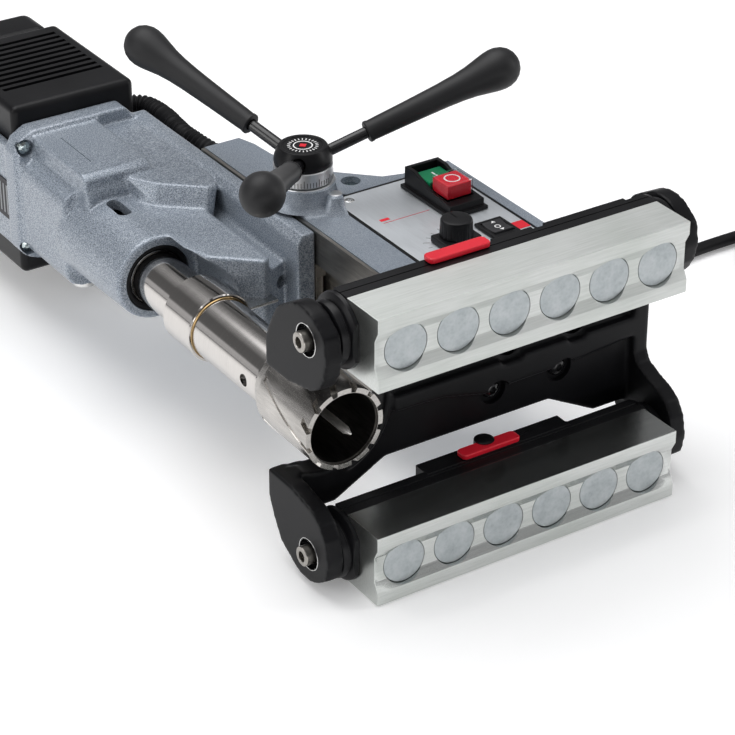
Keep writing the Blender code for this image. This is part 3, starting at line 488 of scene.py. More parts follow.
SPINDLE_STEEL = metal("spindle_steel", (0.60, 0.575, 0.55), 0.09, (0.03, 1, 0.03), 1500, 0.04, 0.012)
CUTTER_STEEL = metal("cutter_steel", (0.50, 0.48, 0.455), 0.24, (1, 0.1, 1), 700, 0.12, 0.06, 0.2)
WAY_STEEL = metal("way_steel", (0.40, 0.38, 0.35), 0.3, (1, 0.05, 1), 900, 0.15, 0.08, 0.25)
BRIGHT = metal("bright_plate", (0.68, 0.68, 0.67), 0.22, (1, 1, 1), 400, 0.1, 0.06, 0.15)
ZINC_SCREW = metal("zinc_screw", (0.60, 0.68, 0.68), 0.2, (1, 1, 1), 300, 0.15, 0.05, 0.25)
BRASS = metal("brass", (0.42, 0.29, 0.14), 0.3, (0.1, 1, 0.1), 1100, 0.15, 0.05, 0.2)
PANEL = metal("panel_aluminium", (0.60, 0.625, 0.65), 0.5, (1, 0.04, 1), 1300, 0.05, 0.03)
DIAL = metal("dial_silver", (0.66, 0.67, 0.68), 0.36, (1, 1, 0.1), 900, 0.05, 0.03)
CLEAR = clear_plastic()
BALL_GRIP = moulded("ball_grip", (0.009, 0.009, 0.010), 0.5, 1300, 0.12, shine=0.35)




# ---- cord

CORD_RADIUS = 4.7
GLAND_END, CORD_Y, CORD_Z = 143.0, 185.0, -10.0
COIL = Vector((420.0, 183.6, FLOOR))
COIL_RADII = (66.4, 56.8, 47.2, 37.6, 37.6, 47.2, 56.8, 66.4)
COIL_TURNS = 7.5


def cord_points():
    """From the gland to the floor, into a coil that winds in and then out on top of itself, to the plug."""
    low = FLOOR + CORD_RADIUS + 0.3
    route = [(GLAND_END + 0.3, CORD_Y, CORD_Z), (149, 185, CORD_Z), (161, 185.5, -14), (176, 189, -33),
             (192, 197, -61), (210, 208, -83), (232, 220, low + 1.2), (262, 234, low), (300, 246, low),
             (340, 250, low), (384, 250, low)]
    points = smooth_route(route, 6)
    points += [Vector((x, 250, low)) for x in (396, 408)]
    steps = 40
    for i in range(int(COIL_TURNS * steps) + 1):
        turn, part = divmod(i / steps, 1.0)
        here = COIL_RADII[int(turn)]
        after = COIL_RADII[min(int(turn) + 1, len(COIL_RADII) - 1)]
        ease = min(max((part - 0.72) / 0.22, 0.0), 1.0)
        ease = ease * ease * (3 - 2 * ease)
        radius = here + (after - here) * ease
        layer = 9.5 * (ease if int(turn) == 3 else (1.0 if turn > 3 else 0.0))
        angle = pi / 2 - 2 * pi * i / steps
        points.append(Vector((COIL.x + radius * cos(angle), COIL.y + radius * sin(angle), low + layer)))
    last = points[-1]
    points += [last + Vector((-x, 0, rise)) for x, rise in ((10, 0.3), (20, 1.6), (29, 2.9), (36, 3.4))]
    return points


def cord():
    points = cord_points()
    obj = tube("mains_lead", points, [CORD_RADIUS] * len(points), 16)
    x = 103.3
    gland = [(0, GLAND_END - x), (4.9, GLAND_END - x), (5.6, GLAND_END - x - 1)]
    for i in range(7):
        height = 36 - 4 * i
        gland += [(5.7 + 0.22 * i, height), (5.7 + 0.22 * i, height - 2.4), (4.9 + 0.22 * i, height - 2.8),
                  (4.9 + 0.22 * i, height - 3.7)]
    gland += [(7.4, 8.6), (10.2, 8.5), (10.5, 8), (10.5, 0.4), (10.1, 0), (6, 0), (6, -8), (0, -8)]
    gland_obj = turned("strain_relief", (x, CORD_Y, CORD_Z), X, gland, 40)
    done(gland_obj, RUBBER, "frame", ("cord_gland",))
    plug = plug_piece()
    done(obj, RUBBER, "frame", ("power_cord", "power_cord_coil"))


def plug_piece():
    start = Vector((383.5, 117.2, FLOOR + 17.8))
    profile = [(0, 58), (14.5, 58), (16.5, 57.2), (17.5, 55), (17.5, 46), (16.8, 45), (16.8, 41), (17.5, 40),
               (17.5, 31), (16, 27.5), (11, 24), (8, 21.5), (7.4, 18), (6.4, 17.4), (7, 16.5), (6.7, 12.5),
               (5.9, 12), (6.4, 11.2), (6.1, 7.5), (5.4, 7), (5.9, 6.2), (5.6, 0.6), (5.2, 0), (0, 0)]
    body = turned("mains_plug", start, -X, profile, 48)
    for i, offset in enumerate((-9.5, 9.5)):
        pin = turned(f"mains_plug_pin_{i + 1}", start + Vector((-57, 0, offset)), -X,
                     [(0, 19), (1.6, 19), (2.4, 17.6), (2.4, 0), (0, 0)], 20)
        done(pin, BRIGHT, "frame")
        pin.parent = body
    done(body, BLACK, "frame", ("power_plug",))
    return body


cord()


# ---- magnet arrays

MAGNETS = [(i - 2.5) * 37.0 for i in range(6)]
NOTCHES = {"upper": (-42.2, -6.2, 32.8, 103.5), "lower": ()}


def pole_shoe(where, z):
    """A bar with a groove along its face, bored for the magnets; its ends have a finish of their own."""
    outline = [(0, z + 24.4), (0, z + 15.4), (3.5, z + 8.75), (3.5, z - 8.75), (0, z - 15.4), (0, z - 24.4),
               (33.3, z - 24.4), (33.3, z + 24.4)]
    shoe = prism(f"{where}_pole_bar", outline, "X", -113.9, 113.9, 0.5, 2)
    cut(shoe, *[rod(f"bore_{i}", (x, -2, z), Y, 15.1, 14, 64) for i, x in enumerate(MAGNETS)])
    done(shoe, SHOES[where], f"{where}_array", (f"{where}_pole_shoe",))
    shoe.data.materials.append(SHOES["end"])
    for face in shoe.data.polygons:
        face.material_index = int(abs(face.normal.x) > 0.9)


def magnets(where, z):
    for i, x in enumerate(MAGNETS):
        disc = turned(f"{where}_magnet_{i + 1}", (x, 12, z), -Y,
                      [(0, 8.8), (8, 8.83), (14.2, 8.8), (14.65, 8.55), (14.8, 8.1), (14.8, 0), (0, 0)], 64)
        done(disc, ZINC, f"{where}_array", (f"{where}_magnet_row",) if i == 0 else ())


def carrier(where, z, way, lever):
    """The black carrier behind a bar. Its boss stands on the side that way points to, up or down."""
    half = 24.2
    body = box("carrier", (-113.6, 33.6, z - half), (113.6, 48, z + half))
    boss_x, boss_z = sorted((-48 * way, 62 * way)), sorted((z + way * half, z - way * 15))
    fuse(body, box("boss", (boss_x[0], 44, boss_z[0]), (boss_x[1], 57.4, boss_z[1])))
    notches = [box(f"notch_{i}", (x - 4.5, 45.2, z + half - 3), (x + 4.5, 60, z + half + 3))
               for i, x in enumerate(NOTCHES[where])]
    groove = box("groove", (-120, 40.6, z + half - 0.9), (120, 41.4, z + half + 2))
    cut(body, *notches, groove, rod("well", (*lever, z + 10), Z, 4.2, 30, 32))
    bevel(body, 0.9, 3)
    done(body, BLACK, f"{where}_array", (f"{where}_array_housing",))
    profile = [(0, 11.2), (17.5, 11.2), (19.6, 10.2), (20.2, 8.6), (20.2, 6.2), (19.2, 5.6), (19.2, 4.6),
               (21.4, 4), (23.6, 2.4), (24, 0), (0, 0)]
    for side, hand in HANDS:
        end = turned(f"{where}_carrier_end_{hand}", (side * 114.1, PIVOT_Y, z), X * side, profile, 64)
        keep(end, box("clip", (-130, 20, z - half), (130, 64.7, z + half)))
        done(end, BLACK, f"{where}_array")


def magnet_lever(where, z, lever):
    x, y = lever
    body = f"{where}_lever"
    low, high = z + 24.7, z + 28.3
    outline = rounded((x - 22, y - 5), (x + 22, y + 5), 3.2)
    bar = prism(f"{where}_magnet_handle", outline, "Z", low, high, 0.9, 3)
    done(bar, RED, body, (f"{where}_magnet_lever",))
    if where == "lower":
        hub = turned("lower_lever_hub", (x, y + 5, low + 0.2), Z,
                     [(0, 4.6), (5.4, 4.6), (6.6, 3.8), (6.8, 0), (0, 0)], 40)
        done(hub, BLACK, body)
    done(rod(f"{where}_lever_stem", (x, y, z + 12), Z, 3.5, 13.5, 32), RED, body)


def pivot_bolts(where, z):
    profile = [(3.2, 138.3), (3.4, 142.5), (3.7, 142.8), (5.6, 142.8), (6.3, 142.4), (6.5, 141.8), (6.5, 131.9),
               (5, 131.8), (5, 117.2), (0, 117.2)]
    for side, hand in HANDS:
        middle = (0, PIVOT_Y, z)
        bolt = turned(f"{where}_pivot_{hand}", middle, X * side, profile, 48)
        cut(bolt, rod("socket", (side * 138.3, PIVOT_Y, z), X * side, 3.4, 8, 6))
        bevel(bolt, 0.15, 2)
        done(bolt, WAY_STEEL, "frame", (f"{where}_pivot_bolt_{hand}",))
        ring = turned(f"{where}_washer_{hand}", middle, X * side,
                      [(6.9, 132.9), (9, 132.9), (9.6, 132.5), (9.6, 131.7), (6.9, 131.7)], 48, whole=False)
        done(ring, BRIGHT, "frame")
        # painted highlight: a thin bright steel ring round the edge of the bracket's recess stands for the light
        # caught on that edge
        rim = turned(f"{where}_recess_highlight_{hand}", middle, X * side,
                     [(10.2, 137.6), (10.35, 137.8), (10.65, 137.8), (10.8, 137.6), (10.8, 136.6), (10.2, 136.6)],
                     64, whole=False)
        done(rim, BRIGHT, "frame")


for where, z, way, lever in (("upper", ARRAY_Z, -1, (-29, 43.5)), ("lower", -ARRAY_Z, 1, (1.5, 48.5))):
    pole_shoe(where, z)
    magnets(where, z)
    carrier(where, z, way, lever)
    magnet_lever(where, z, lever)
    pivot_bolts(where, z)


# ---- saddle bracket

BRACKET_SCREWS = ((17.9, -22.9), (69.8, -22.9), (29.5, 9), (80.5, 9))


def lobe(side_z):
    """A side wall's outline round one array's pivot, in Y and Z."""
    outline = [(87, 37), (87, 56), (81, 70), (73, 83)]
    outline += arc((45.0, ARRAY_Z - 6), 26.5, 55, 125, 10)
    outline += [(20.5, 84), (18, 70), (21, 57), (27, 47.5), (36, 42), (60, 37)]
    return [(y, z * side_z) for y, z in outline]


def bracket():
    """Web, rib, one wall with two lobes on the right, two lobes on the left, and the opening's rolled rim."""
    wall_inside, wall_outside = 126.0, 137.5
    quarter = [(63, 44.7), (100, 64.5), (128, 64.5)]
    right = quarter + [(x, -z) for x, z in reversed(quarter)]
    web = prism("saddle_bracket", right + [(-x, -z) for x, z in right], "Y", 68, 80)
    rib = prism("rib", [(-60, 0), (20, 0), (22, -3), (37, -3), (39, 0), (72, 0), (74, -3), (86, -3), (88, 0),
                        (128, 0), (128, -14), (76, -18), (32, -19), (7, -20), (-25, -12), (-60, -11)],
                "Y", 61.7, 70)
    upper = lobe(1)[:-1] + [(48, 38), (58, 33.5), (61.7, 27)]
    wall = prism("wall", upper + [(y, -z) for y, z in reversed(upper)], "X", wall_inside, wall_outside)
    lobes = [prism(f"lobe_{side}", lobe(side), "X", -wall_outside, -wall_inside) for side in (1, -1)]
    shelves = [box(f"shelf_{i}", (-128, 68, low), (-84, 86.5, high))
               for i, (low, high) in enumerate(((38, 55), (-55, -38)))]
    edge = [Vector((SPINDLE.x + 43 * cos(turn), 67, 43 * sin(turn)))
            for turn in (radians(72 - 144 * i / 40) for i in range(41))]
    fuse(web, rib, wall, *lobes, *shelves, tube("mouth_rim", edge, [3.4] * len(edge), 12))
    cut(web, rod("spindle_way", (SPINDLE.x, 40, 0), Y, 40, 60, 96),
        box("mouth", (-140, 50, -36), (SPINDLE.x, 95, 36)))
    for z in (ARRAY_Z, -ARRAY_Z):
        cut(web, rod("array_way", (-125.8, PIVOT_Y, z), X, 26.5, 251.6, 96))
    soften(web, 1.25, 7)
    for z in (ARRAY_Z, -ARRAY_Z):
        for side in (-1, 1):
            cut(web, rod("hole", (side * 120, PIVOT_Y, z), X * side, 5.3, 20, 32),
                rod("recess", (side * 131.5, PIVOT_Y, z), X * side, 10, 8, 64))
    for x, z in BRACKET_SCREWS:
        cut(web, rod("hole", (x, 60, z), Y, 4.3, 30, 32), rod("recess", (x, 55, z), Y, 9.8, 17, 48))
    done(web, CAST_BLACK, "frame", ("magnet_bracket",), 40)


def bracket_screws():
    head = [(0, 4.2), (2.4, 4.15), (4.4, 3.5), (5.8, 2.2), (6.45, 0.6), (6.5, 0), (4, 0), (4, -22), (0, -22)]
    for i, (x, z) in enumerate(BRACKET_SCREWS):
        screw = turned(f"web_screw_{i + 1}", (x, 71.7, z), -Y, head, 40)
        cut(screw, rod("socket", (x, 69.5, z), -Y, 2.9, 6, 6))
        done(screw, GLOSS_BLACK, "frame", (f"bracket_screw_{i + 1}",))


bracket()
bracket_screws()


# ---- housing

BOSS_LUGS = [CAPSTAN + Vector((10.5, -23.0, 0)) * side for side in (-1, 1)]
HOUSING_SCREW = Vector((30.5, 253.0, 0))


def panel_ways():
    """Tools for the openings that the housing's front, the panel's edge and its plate share."""
    return (box("switch_way", (56, 174, 30), (80, 218, 60)), rod("knob_way", (*KNOB, 30), Z, 5.5, 40, 32),
            box("rocker_way", (63, 131, 30), (79, 149, 60)))


def capstan_boss():
    """The dome and two lugs that the capstan stands on, kept clear of the slideway at its left."""
    boss = turned("boss", CAPSTAN, Z,
                  [(0, 61), (21.2, 61), (21.9, 60.2), (22.1, 54), (23.2, 49.5), (26.5, 46), (33, 43.8),
                   (0, 43.8)], 96)
    profile = [(0, 56.6), (4.6, 56.6), (6, 55.4), (8.2, 49), (12.5, 44.4), (0, 44.4)]
    for lug in BOSS_LUGS:
        fuse(boss, turned("lug", lug, Z, profile, 40))
    clip = fuse(box("clip", (-25, 80, 40), (103, 400, 70)), box("clip_high", (-50, 80, 46.5), (103, 400, 70)))
    return keep(boss, clip)


def housing():
    outline = [(-25.3, 80.3), (103, 80.3), (103, 243), (66, 243), (52, 247), (28, 271), (12, 296), (7.5, 318),
               (6, 338), (2, 352), (-25.3, 352)]
    body = prism("machine_housing", outline, "Z", -44.8, 44.8)
    fuse(body, capstan_boss())
    bevel(body, 1.6, 4)
    cut(
        body,
        box("slide_seat", (-40, 60, -35.3), (-11.7, 380, 35.3)),
        box("panel_seat", (1.9, 103.7, 43.3), (95.2, 237.3, 60)),
        box("cover_seat", (10, 86.3, -60), (100, 240, -41.5)),
        box("chamber", (18, 94.3, -60), (96, 236, 37.8)),
        rod("gland_way", (90, CORD_Y, CORD_Z), X, 6.4, 20, 32),
        rod("screw_way", HOUSING_SCREW + Z * 36, Z, 6.8, 20, 40),
        rod("shaft_way", CAPSTAN + Z * 30, Z, 8.4, 40, 40),
    )
    cut(body, *panel_ways())
    done(body, HOUSING_PAINT, "frame", ("frame_housing",), 32)


def housing_trim():
    ring = turned("boss_ring", CAPSTAN, Z,
                  [(8.6, 61.6), (20.4, 61.6), (21, 61.2), (21, 60.6), (8.6, 60.6)], 96, whole=False)
    done(ring, DIAL, "frame")
    profile = [(0, 57), (3.9, 57), (4.4, 56.7), (4.4, 56.2), (0, 56.2)]
    for i, lug in enumerate(BOSS_LUGS):
        done(turned(f"boss_lug_{i + 1}", lug, Z, profile, 40), DIAL, "frame")
    done(countersunk("housing_screw", HOUSING_SCREW + Z * 40.6, 6.2), ZINC_SCREW, "frame")
    for i, (x, y) in enumerate(((14, 91), (96, 91), (14, 235), (96, 235))):
        done(countersunk(f"cover_screw_{i + 1}", (x, y, -44.6), 3.4, -Z), ZINC_SCREW, "frame")


def countersunk(name, point, radius, axis=Z):
    """Flat screw head with a cross recess, standing level with point."""
    profile = [(0, 0.25), (radius * 0.8, 0.2), (radius, -0.1), (radius * 0.55, -1.6), (0, -1.6)]
    head = turned(name, point, axis, profile, 40)
    width, reach = radius * 0.14, radius * 0.62
    point = Vector(point)
    return cut(head, box("slot_a", point - Vector((reach, width, 1)), point + Vector((reach, width, 3))),
               box("slot_b", point - Vector((width, reach, 1)), point + Vector((width, reach, 3))))


def way_edge():
    done(box("way_edge", (-27.7, 89, 36), (-25.9, 351.4, 44), 0.3, 2), WAY_STEEL, "frame")


housing()
housing_trim()
way_edge()


# ---- control panel

def panel():
    x0, y0, x1, y1 = 2.4, 104.2, 94.7, 236.8
    lip = 2.1
    outline = rounded((x0, y0), (x1, y1), 11.5)
    edge = prism("panel_edge", outline, "Z", PANEL_Z - 1.5, PANEL_Z - 0.05)
    outline = rounded((x0 + lip, y0 + lip), (x1 - lip, y1 - lip), 9.5)
    plate = prism("panel_plate", outline, "Z", PANEL_Z - 1.4, PANEL_Z + 0.1, 0.15, 2)
    for piece in (edge, plate):
        cut(piece, *panel_ways())
    done(edge, BLACK, "frame")
    done(plate, PANEL, "frame", ("control_panel",))
    for i, (x, y) in enumerate(((13.8, 228.5), (83.5, 228.5), (13.8, 112.5), (83.5, 112.5))):
        done(countersunk(f"panel_screw_{i + 1}", (x, y, PANEL_Z + 0.15), 3.6), BRIGHT, "frame")


def panel_print():
    top = PANEL_Z + 0.1
    marks = [("stripe_red", (14, 190.5), (21, 193.5), RED), ("stripe_line", (14, 187.6), (50, 188), RED),
             ("label_red", (83.5, 133), (92.5, 143), RED)]
    for name, low, high, paint in marks:
        done(box(name, (*low, top - 0.1), (*high, top + 0.12)), paint, "frame")
    for i in range(13):
        angle = radians(215 - 250 * i / 12)
        inner, outer = (17.0, 19.8) if i % 3 else (17.0, 21.4)
        centre = Vector((*KNOB, 0))
        along = Vector((cos(angle), sin(angle), 0))
        across = Vector((-along.y, along.x, 0)) * 0.35
        corners = [centre + along * inner - across, centre + along * outer - across,
                   centre + along * outer + across, centre + along * inner + across]
        mark = prism(f"speed_mark_{i + 1}", [c.xy for c in corners], "Z", top - 0.1, top + 0.1)
        done(mark, GREY_PRINT, "frame")


def switches():
    base = PANEL_Z + 0.3
    profile = [(170, base + 1), (224, base + 1), (224, 61), (213, 61), (193, 54), (170, 53)]
    shell = prism("switch_surround", profile, "X", 54.5, 81.5)
    fuse(shell, box("flange", (52.5, 168, base), (83.5, 226, base + 2.5)))
    cut(shell, box("start_way", (57.5, 198.5, base + 2), (78.5, 221, 80)),
        box("stop_way", (57.5, 177.5, base + 2), (78.5, 199.5, 80)),
        box("throat", (60, 181, 30), (76, 215, 60)))
    bevel(shell, 0.6, 3)
    done(shell, BLACK, "frame", ("switch_box",))
    green = box("start_cap", (58, 199.2, base + 5), (78, 217, 58), 0.8)
    done(green, GREEN, "start_switch", ("start_button",))
    done(box("start_mark", (67.4, 205, 57.9), (68.6, 211.6, 58.15)), WHITE, "start_switch")
    red = box("stop_cap", (58.6, 179, base + 8), (77.4, 197, 63.2), 0.8)
    done(red, RED, "stop_switch", ("stop_button",))
    ring = turned("stop_mark", (68, 188, 63.1), Z,
                  [(4.6, 0.25), (5.6, 0.25), (5.6, 0), (4.6, 0)], 48, whole=False)
    done(ring, WHITE, "stop_switch")
    for name, low, high, body in (
        ("start_stem", (64, 203, 39), (72, 213, base + 6), "start_switch"),
        ("stop_stem", (64, 183, 39), (72, 193, base + 9), "stop_switch"),
    ):
        done(box(name, low, high, 0.4), BLACK, body)
    cover = box("stop_cover", (57.7, 178.2, base + 7.6), (78.3, 197.8, 64.4), 0.9)
    cut(cover, box("inside", (58.2, 178.8, base), (77.8, 197.2, 63.8)))
    done(cover, CLEAR, "stop_switch")


def knob():
    base = box("dial_base", (25, 132, PANEL_Z + 0.3), (53, 150, 50), 0.9)
    cut(base, rod("bore", (*KNOB, 40), Z, 5, 30, 32))
    done(base, BLACK, "frame", ("speed_knob_base",))
    profile = [(0, 62.5), (8.6, 62.5), (9.9, 62), (10.5, 61), (11, 51), (10.6, 50.4), (4.5, 50.4),
               (4.5, 39), (0, 39)]
    dial = turned("dial_knob", (*KNOB, 0), Z, profile, 72)
    x, y = KNOB
    turns = [2 * pi * i / 18 for i in range(18)]
    rim = [(x + 11.6 * cos(turn), y + 11.6 * sin(turn), 49) for turn in turns]
    cut(dial, *[rod("flute", point, Z, 1.1, 12, 10) for point in rim])
    cut(dial, box("pointer", (x - 0.5, y, 62.2), (x + 0.5, y + 10, 64)))
    done(dial, BLACK, "speed_dial", ("speed_knob",))


def rocker():
    rim = PANEL_Z + 0.3
    bezel = box("rocker_bezel", (60.5, 128, rim), (81.5, 152, rim + 2.2), 0.7)
    cut(bezel, box("way", (63.2, 131.2, 30), (78.8, 148.8, 60)))
    done(bezel, BLACK, "frame", ("direction_bezel",))
    profile = [(132.4, 48.6), (132.4, 45.8), (137, 42), (143, 42), (147.6, 45.8), (147.6, 48.6), (144, 47.9),
               (140, 47.6), (136, 47.9)]
    cap = prism("rocker", profile, "X", 63.6, 78.4, 0.5, 3)
    done(cap, DARK_GREY, "direction_switch", ("direction_rocker",))
    x = ROCKER[0]
    for i, (y, size) in enumerate(((144.6, 1.6), (135.4, -1.6))):
        outline = [(x - 1.7, y), (x + 1.7, y), (x, y + size * 1.4)]
        arrow = prism(f"rocker_arrow_{i + 1}", outline, "Z", 47.4, 48.5)
        done(arrow, WHITE, "direction_switch")
    ring = turned("rocker_ring", (*ROCKER, 47.3), Z,
                  [(1.5, 0.55), (2.2, 0.55), (2.2, 0), (1.5, 0)], 32, whole=False)
    done(ring, WHITE, "direction_switch")


panel()
panel_print()
switches()
knob()
rocker()


# ---- drill head

def gear_case():
    """The painted castings of the drill head: barrel, gear block, flange, slide block and their webs, melted
    into one, with the machined openings cut afterwards."""
    body = turned("drill_head", SPINDLE, -Y,
                  [(20, -277), (28.2, -277), (29.4, -277.8), (29.9, -279.4), (31, -345), (31.4, -364),
                   (20, -364)], 96)
    block = prism("block", [
        (-133.4, -27), (-133.4, 25), (-131.5, 30), (-125, 33.5), (-118, 40), (-66, 42), (-54, 36), (-54, -34),
        (-64, -38), (-121, -38), (-129.5, -34.5)], "Y", 357.5, 431)
    ridge = prism("ridge", [
        (342, 22), (342, 36), (345.5, 42.5), (344.5, 46), (350, 49.3), (431, 49.8), (431, 22)], "X", -122, -71)
    flange = prism("flange", [
        (-136, -36), (-129, -43), (-104, -52), (-98, -53), (-50, -53), (-38, -44), (-38, 42), (-48, 53),
        (-120, 53), (-131, 47), (-136, 38)], "Y", 424, 439.8)
    slide = prism("slide_block", [
        (-28.5, -44), (-28.5, 44.2), (-38.6, 44.2), (-42.3, 38), (-42.3, -44)], "Y", 203, 431)
    upper = prism("upper_web", [
        (-92, 345), (-78, 324), (-51.5, 301), (-43, 303), (-41, 330), (-41, 431), (-92, 431)], "Z", 22, 42.8)
    for vert in upper.data.vertices:  # the front of its underside reaches further left and forwards
        if vert.co.z < world((0, 0, 25)).z and vert.co.y < world((0, 340, 0)).y:
            vert.co += Vector((-10, -10, 0)) * MM
    web = prism("web", [
        (-106, 288), (-92, 236), (-63, 209.5), (-57.5, 214), (-56.5, 431), (-100, 431)], "Z", -16, 29.8)
    low_web = prism("low_web", [
        (-92, 238), (-63, 211), (-47, 217.5), (-40.3, 222), (-40.3, 430.6), (-91.3, 430.6)], "Z", -32, 20)
    middle = prism("middle_web", [
        (-70.5, 316.7), (-40.7, 316.7), (-40.7, 430.2), (-70.5, 430.2)], "Z", 0.6, 32.6)
    fuse(body, block, ridge, flange, slide, upper, web, low_web, middle)
    cut(body, rod("nose_way", (SPINDLE.x, 190, 0), Y, 30.4, 86.8, 96),
        box("front", (-60, 190, -60), (-20, 203.6, 60)))
    fuse(body, box("ear", (-134, 420, -39), (-126, 482, 39)))
    valley = rod("valley", (-47.5, 440, 43.4), Vector((1.0, -100, 4.6)), 8.4, 107, 48)
    cut(body, box("motor_way", (-127.3, 440, -70), (-20, 500, 70)), valley)
    soften(body, 1.35, 6)
    cut(
        body,
        rod("bore", (SPINDLE.x, 270, 0), Y, 23.9, 112, 64),
        box("chamber", (-130, 382, -25), (-54, 445, 25)),
        box("drift", (-111.2, 316, 10), (-101.2, 340, 60), 4.6, 5),
        rod("tapped", (-45.5, 215.2, 6.5), Vector((-0.45, 0.89, 0)), 4.8, 16, 40),
        rod("oil_way", (-115, 368, -60), Z, 5.3, 34, 32),
        box("seam", (-106.2, 366, 47.9), (-105.7, 410, 52)),
        rod("screw_seat_top", (-127, 428.5, 41.5), -Y, 6.4, 10, 40),
        rod("screw_seat_low", (-129.6, 428.5, -33), -Y, 6.2, 10, 40),
    )
    done(body, HAMMERTONE, "carriage", ("gear_case",), 45)


FLANGE_SCREWS = ((-127, 427.5, 41.5), (-129.6, 427.5, -33), (-52, 425.5, 35.8), (-52, 425.5, -38))


def head_screws():
    for i, (x, y, z) in enumerate(FLANGE_SCREWS):
        screw = turned(f"flange_screw_{i + 1}", (x, y, z), -Y,
                       [(0, 3.6), (2.6, 3.4), (4.4, 2.3), (5, 0.8), (5, 0), (0, 0)], 40)
        cut(screw, box("slot_a", (x - 2.6, y - 9, z - 0.6), (x + 2.6, y - 3, z + 0.6)),
            box("slot_b", (x - 0.6, y - 9, z - 2.6), (x + 0.6, y - 3, z + 2.6)))
        done(screw, ZINC_SCREW, "carriage")


def sump_plug():
    profile = [(0, -27), (4.9, -27), (4.9, -38.4), (8.3, -38.4), (8.5, -38.8), (8.5, -41), (7.6, -42.2),
               (0, -42.2)]
    plug = turned("sump_plug", (-115, 368, 0), Z, profile, 48)
    done(plug, BRIGHT, "carriage", ("oil_plug",))


def rating_plate():
    plate = box("data_plate", (-134.9, 433, -19), (-133.9, 462, 11.5), 0.3, 2)
    done(plate, DARK_GREY, "carriage", ("rating_plate",))
    for i, z in enumerate((-15.5, 8)):
        rivet = turned(f"plate_rivet_{i + 1}", (-134.8, 437, z), -X,
                       [(0, 1), (1.2, 0.8), (1.9, 0), (0, 0)], 24)
        done(rivet, BRIGHT, "carriage")
    for i in range(4):
        bar = box(f"plate_bar_{i + 1}", (-135.1, 441 + 5 * i, -15), (-134.8, 443 + 5 * i, 7.5))
        done(bar, GREY_PRINT, "carriage")


def spindle_seal():
    seal = turned("lip_seal", SPINDLE, -Y,
                  [(23.6, -278.6), (22.8, -278.2), (21.2, -278.4), (20.2, -279.2), (19.6, -281.5), (18.8, -282),
                   (18.8, -285), (23.6, -285)], 80, whole=False)
    done(seal, RUBBER, "carriage", ("spindle_seal",))
    lip = turned("seal_ring", SPINDLE, -Y,
                 [(18.6, -279.2), (18.9, -278.8), (19.2, -279.2), (18.9, -281)], 80, whole=False)
    done(lip, BRIGHT, "carriage")


def limit_plate():
    done(box("limit_plate", (-78, 204.5, 0.6), (-57, 240, 2.6), 0.3, 2), BRIGHT, "carriage")


def motor():
    middle, pitch, slot, count = -79.2, 8, 4, 10
    body = box("motor_shell", (-127.2, 440.3, -64.8), (-31.2, 560, 64.8), 5, 5)
    vents = [box("vent", (-118, y, low), (-40, y + slot, low + 10))
             for y in range(470, 470 + pitch * count, pitch) for low in (-70, 60)]
    cut(body, *vents)
    cut(body, rod("bore", (middle, 435, 0), Y, 42, 130, 64))
    done(body, BLACK, "carriage", ("motor_housing",))
    cap = box("motor_cap", (-124.3, 560.3, -61.8), (-34, 599.8, 61.8), 9, 6)
    cut(cap, *[box("vent", (-105, 590, z), (-53, 605, z + slot), 1, 2)
               for z in range(-38, -38 + pitch * count, pitch)])
    cut(cap, rod("bore", (middle, 555, 0), Y, 38, 30, 64))
    done(cap, BLACK, "carriage", ("motor_end_cap",))


def spindle():
    shaft = turned("spindle_shaft", SPINDLE, -Y,
                   [(0, -300), (10, -300), (12.2, -228.3), (17.7, -228.3), (18.4, -229), (18.4, -284),
                    (17.2, -284), (17.2, -402), (12, -402), (12, -424), (0, -424)], 96)
    cut(shaft, box("drift", (-110, 322, -20), (-102.4, 346, 20), 3, 3))
    done(shaft, SPINDLE_STEEL, "spindle", ("spindle",), 25)
    arbor = turned("arbor_body", SPINDLE, -Y,
                   [(0, -160), (5.4, -160), (5.4, -117.3), (20.6, -117.3), (21.5, -118.2), (21.5, -194.6),
                    (21.9, -195), (23.2, -195.2), (24, -196), (24, -227.2), (23.4, -228), (11.8, -228), (9.6, -299),
                    (0, -299)], 96)
    cut(arbor, rod("set_hole", (SPINDLE.x - 14, 131, 0), -X, 4.2, 12, 40))
    done(arbor, SPINDLE_STEEL, "spindle", ("arbor",), 25)
    screw = rod("set_screw", (SPINDLE.x - 14.3, 131, 0), -X, 4.0, 4.5, 40)
    cut(screw, rod("socket", (SPINDLE.x - 16, 131, 0), -X, 2.0, 5, 6))
    done(screw, GLOSS_BLACK, "spindle")
    ring = turned("collar_ring", SPINDLE, -Y,
                  [(21.6, -194), (22.1, -194.1), (22.3, -194.7), (22.1, -195.1), (21.6, -195.1)], 96, whole=False)
    done(ring, BRASS, "spindle")


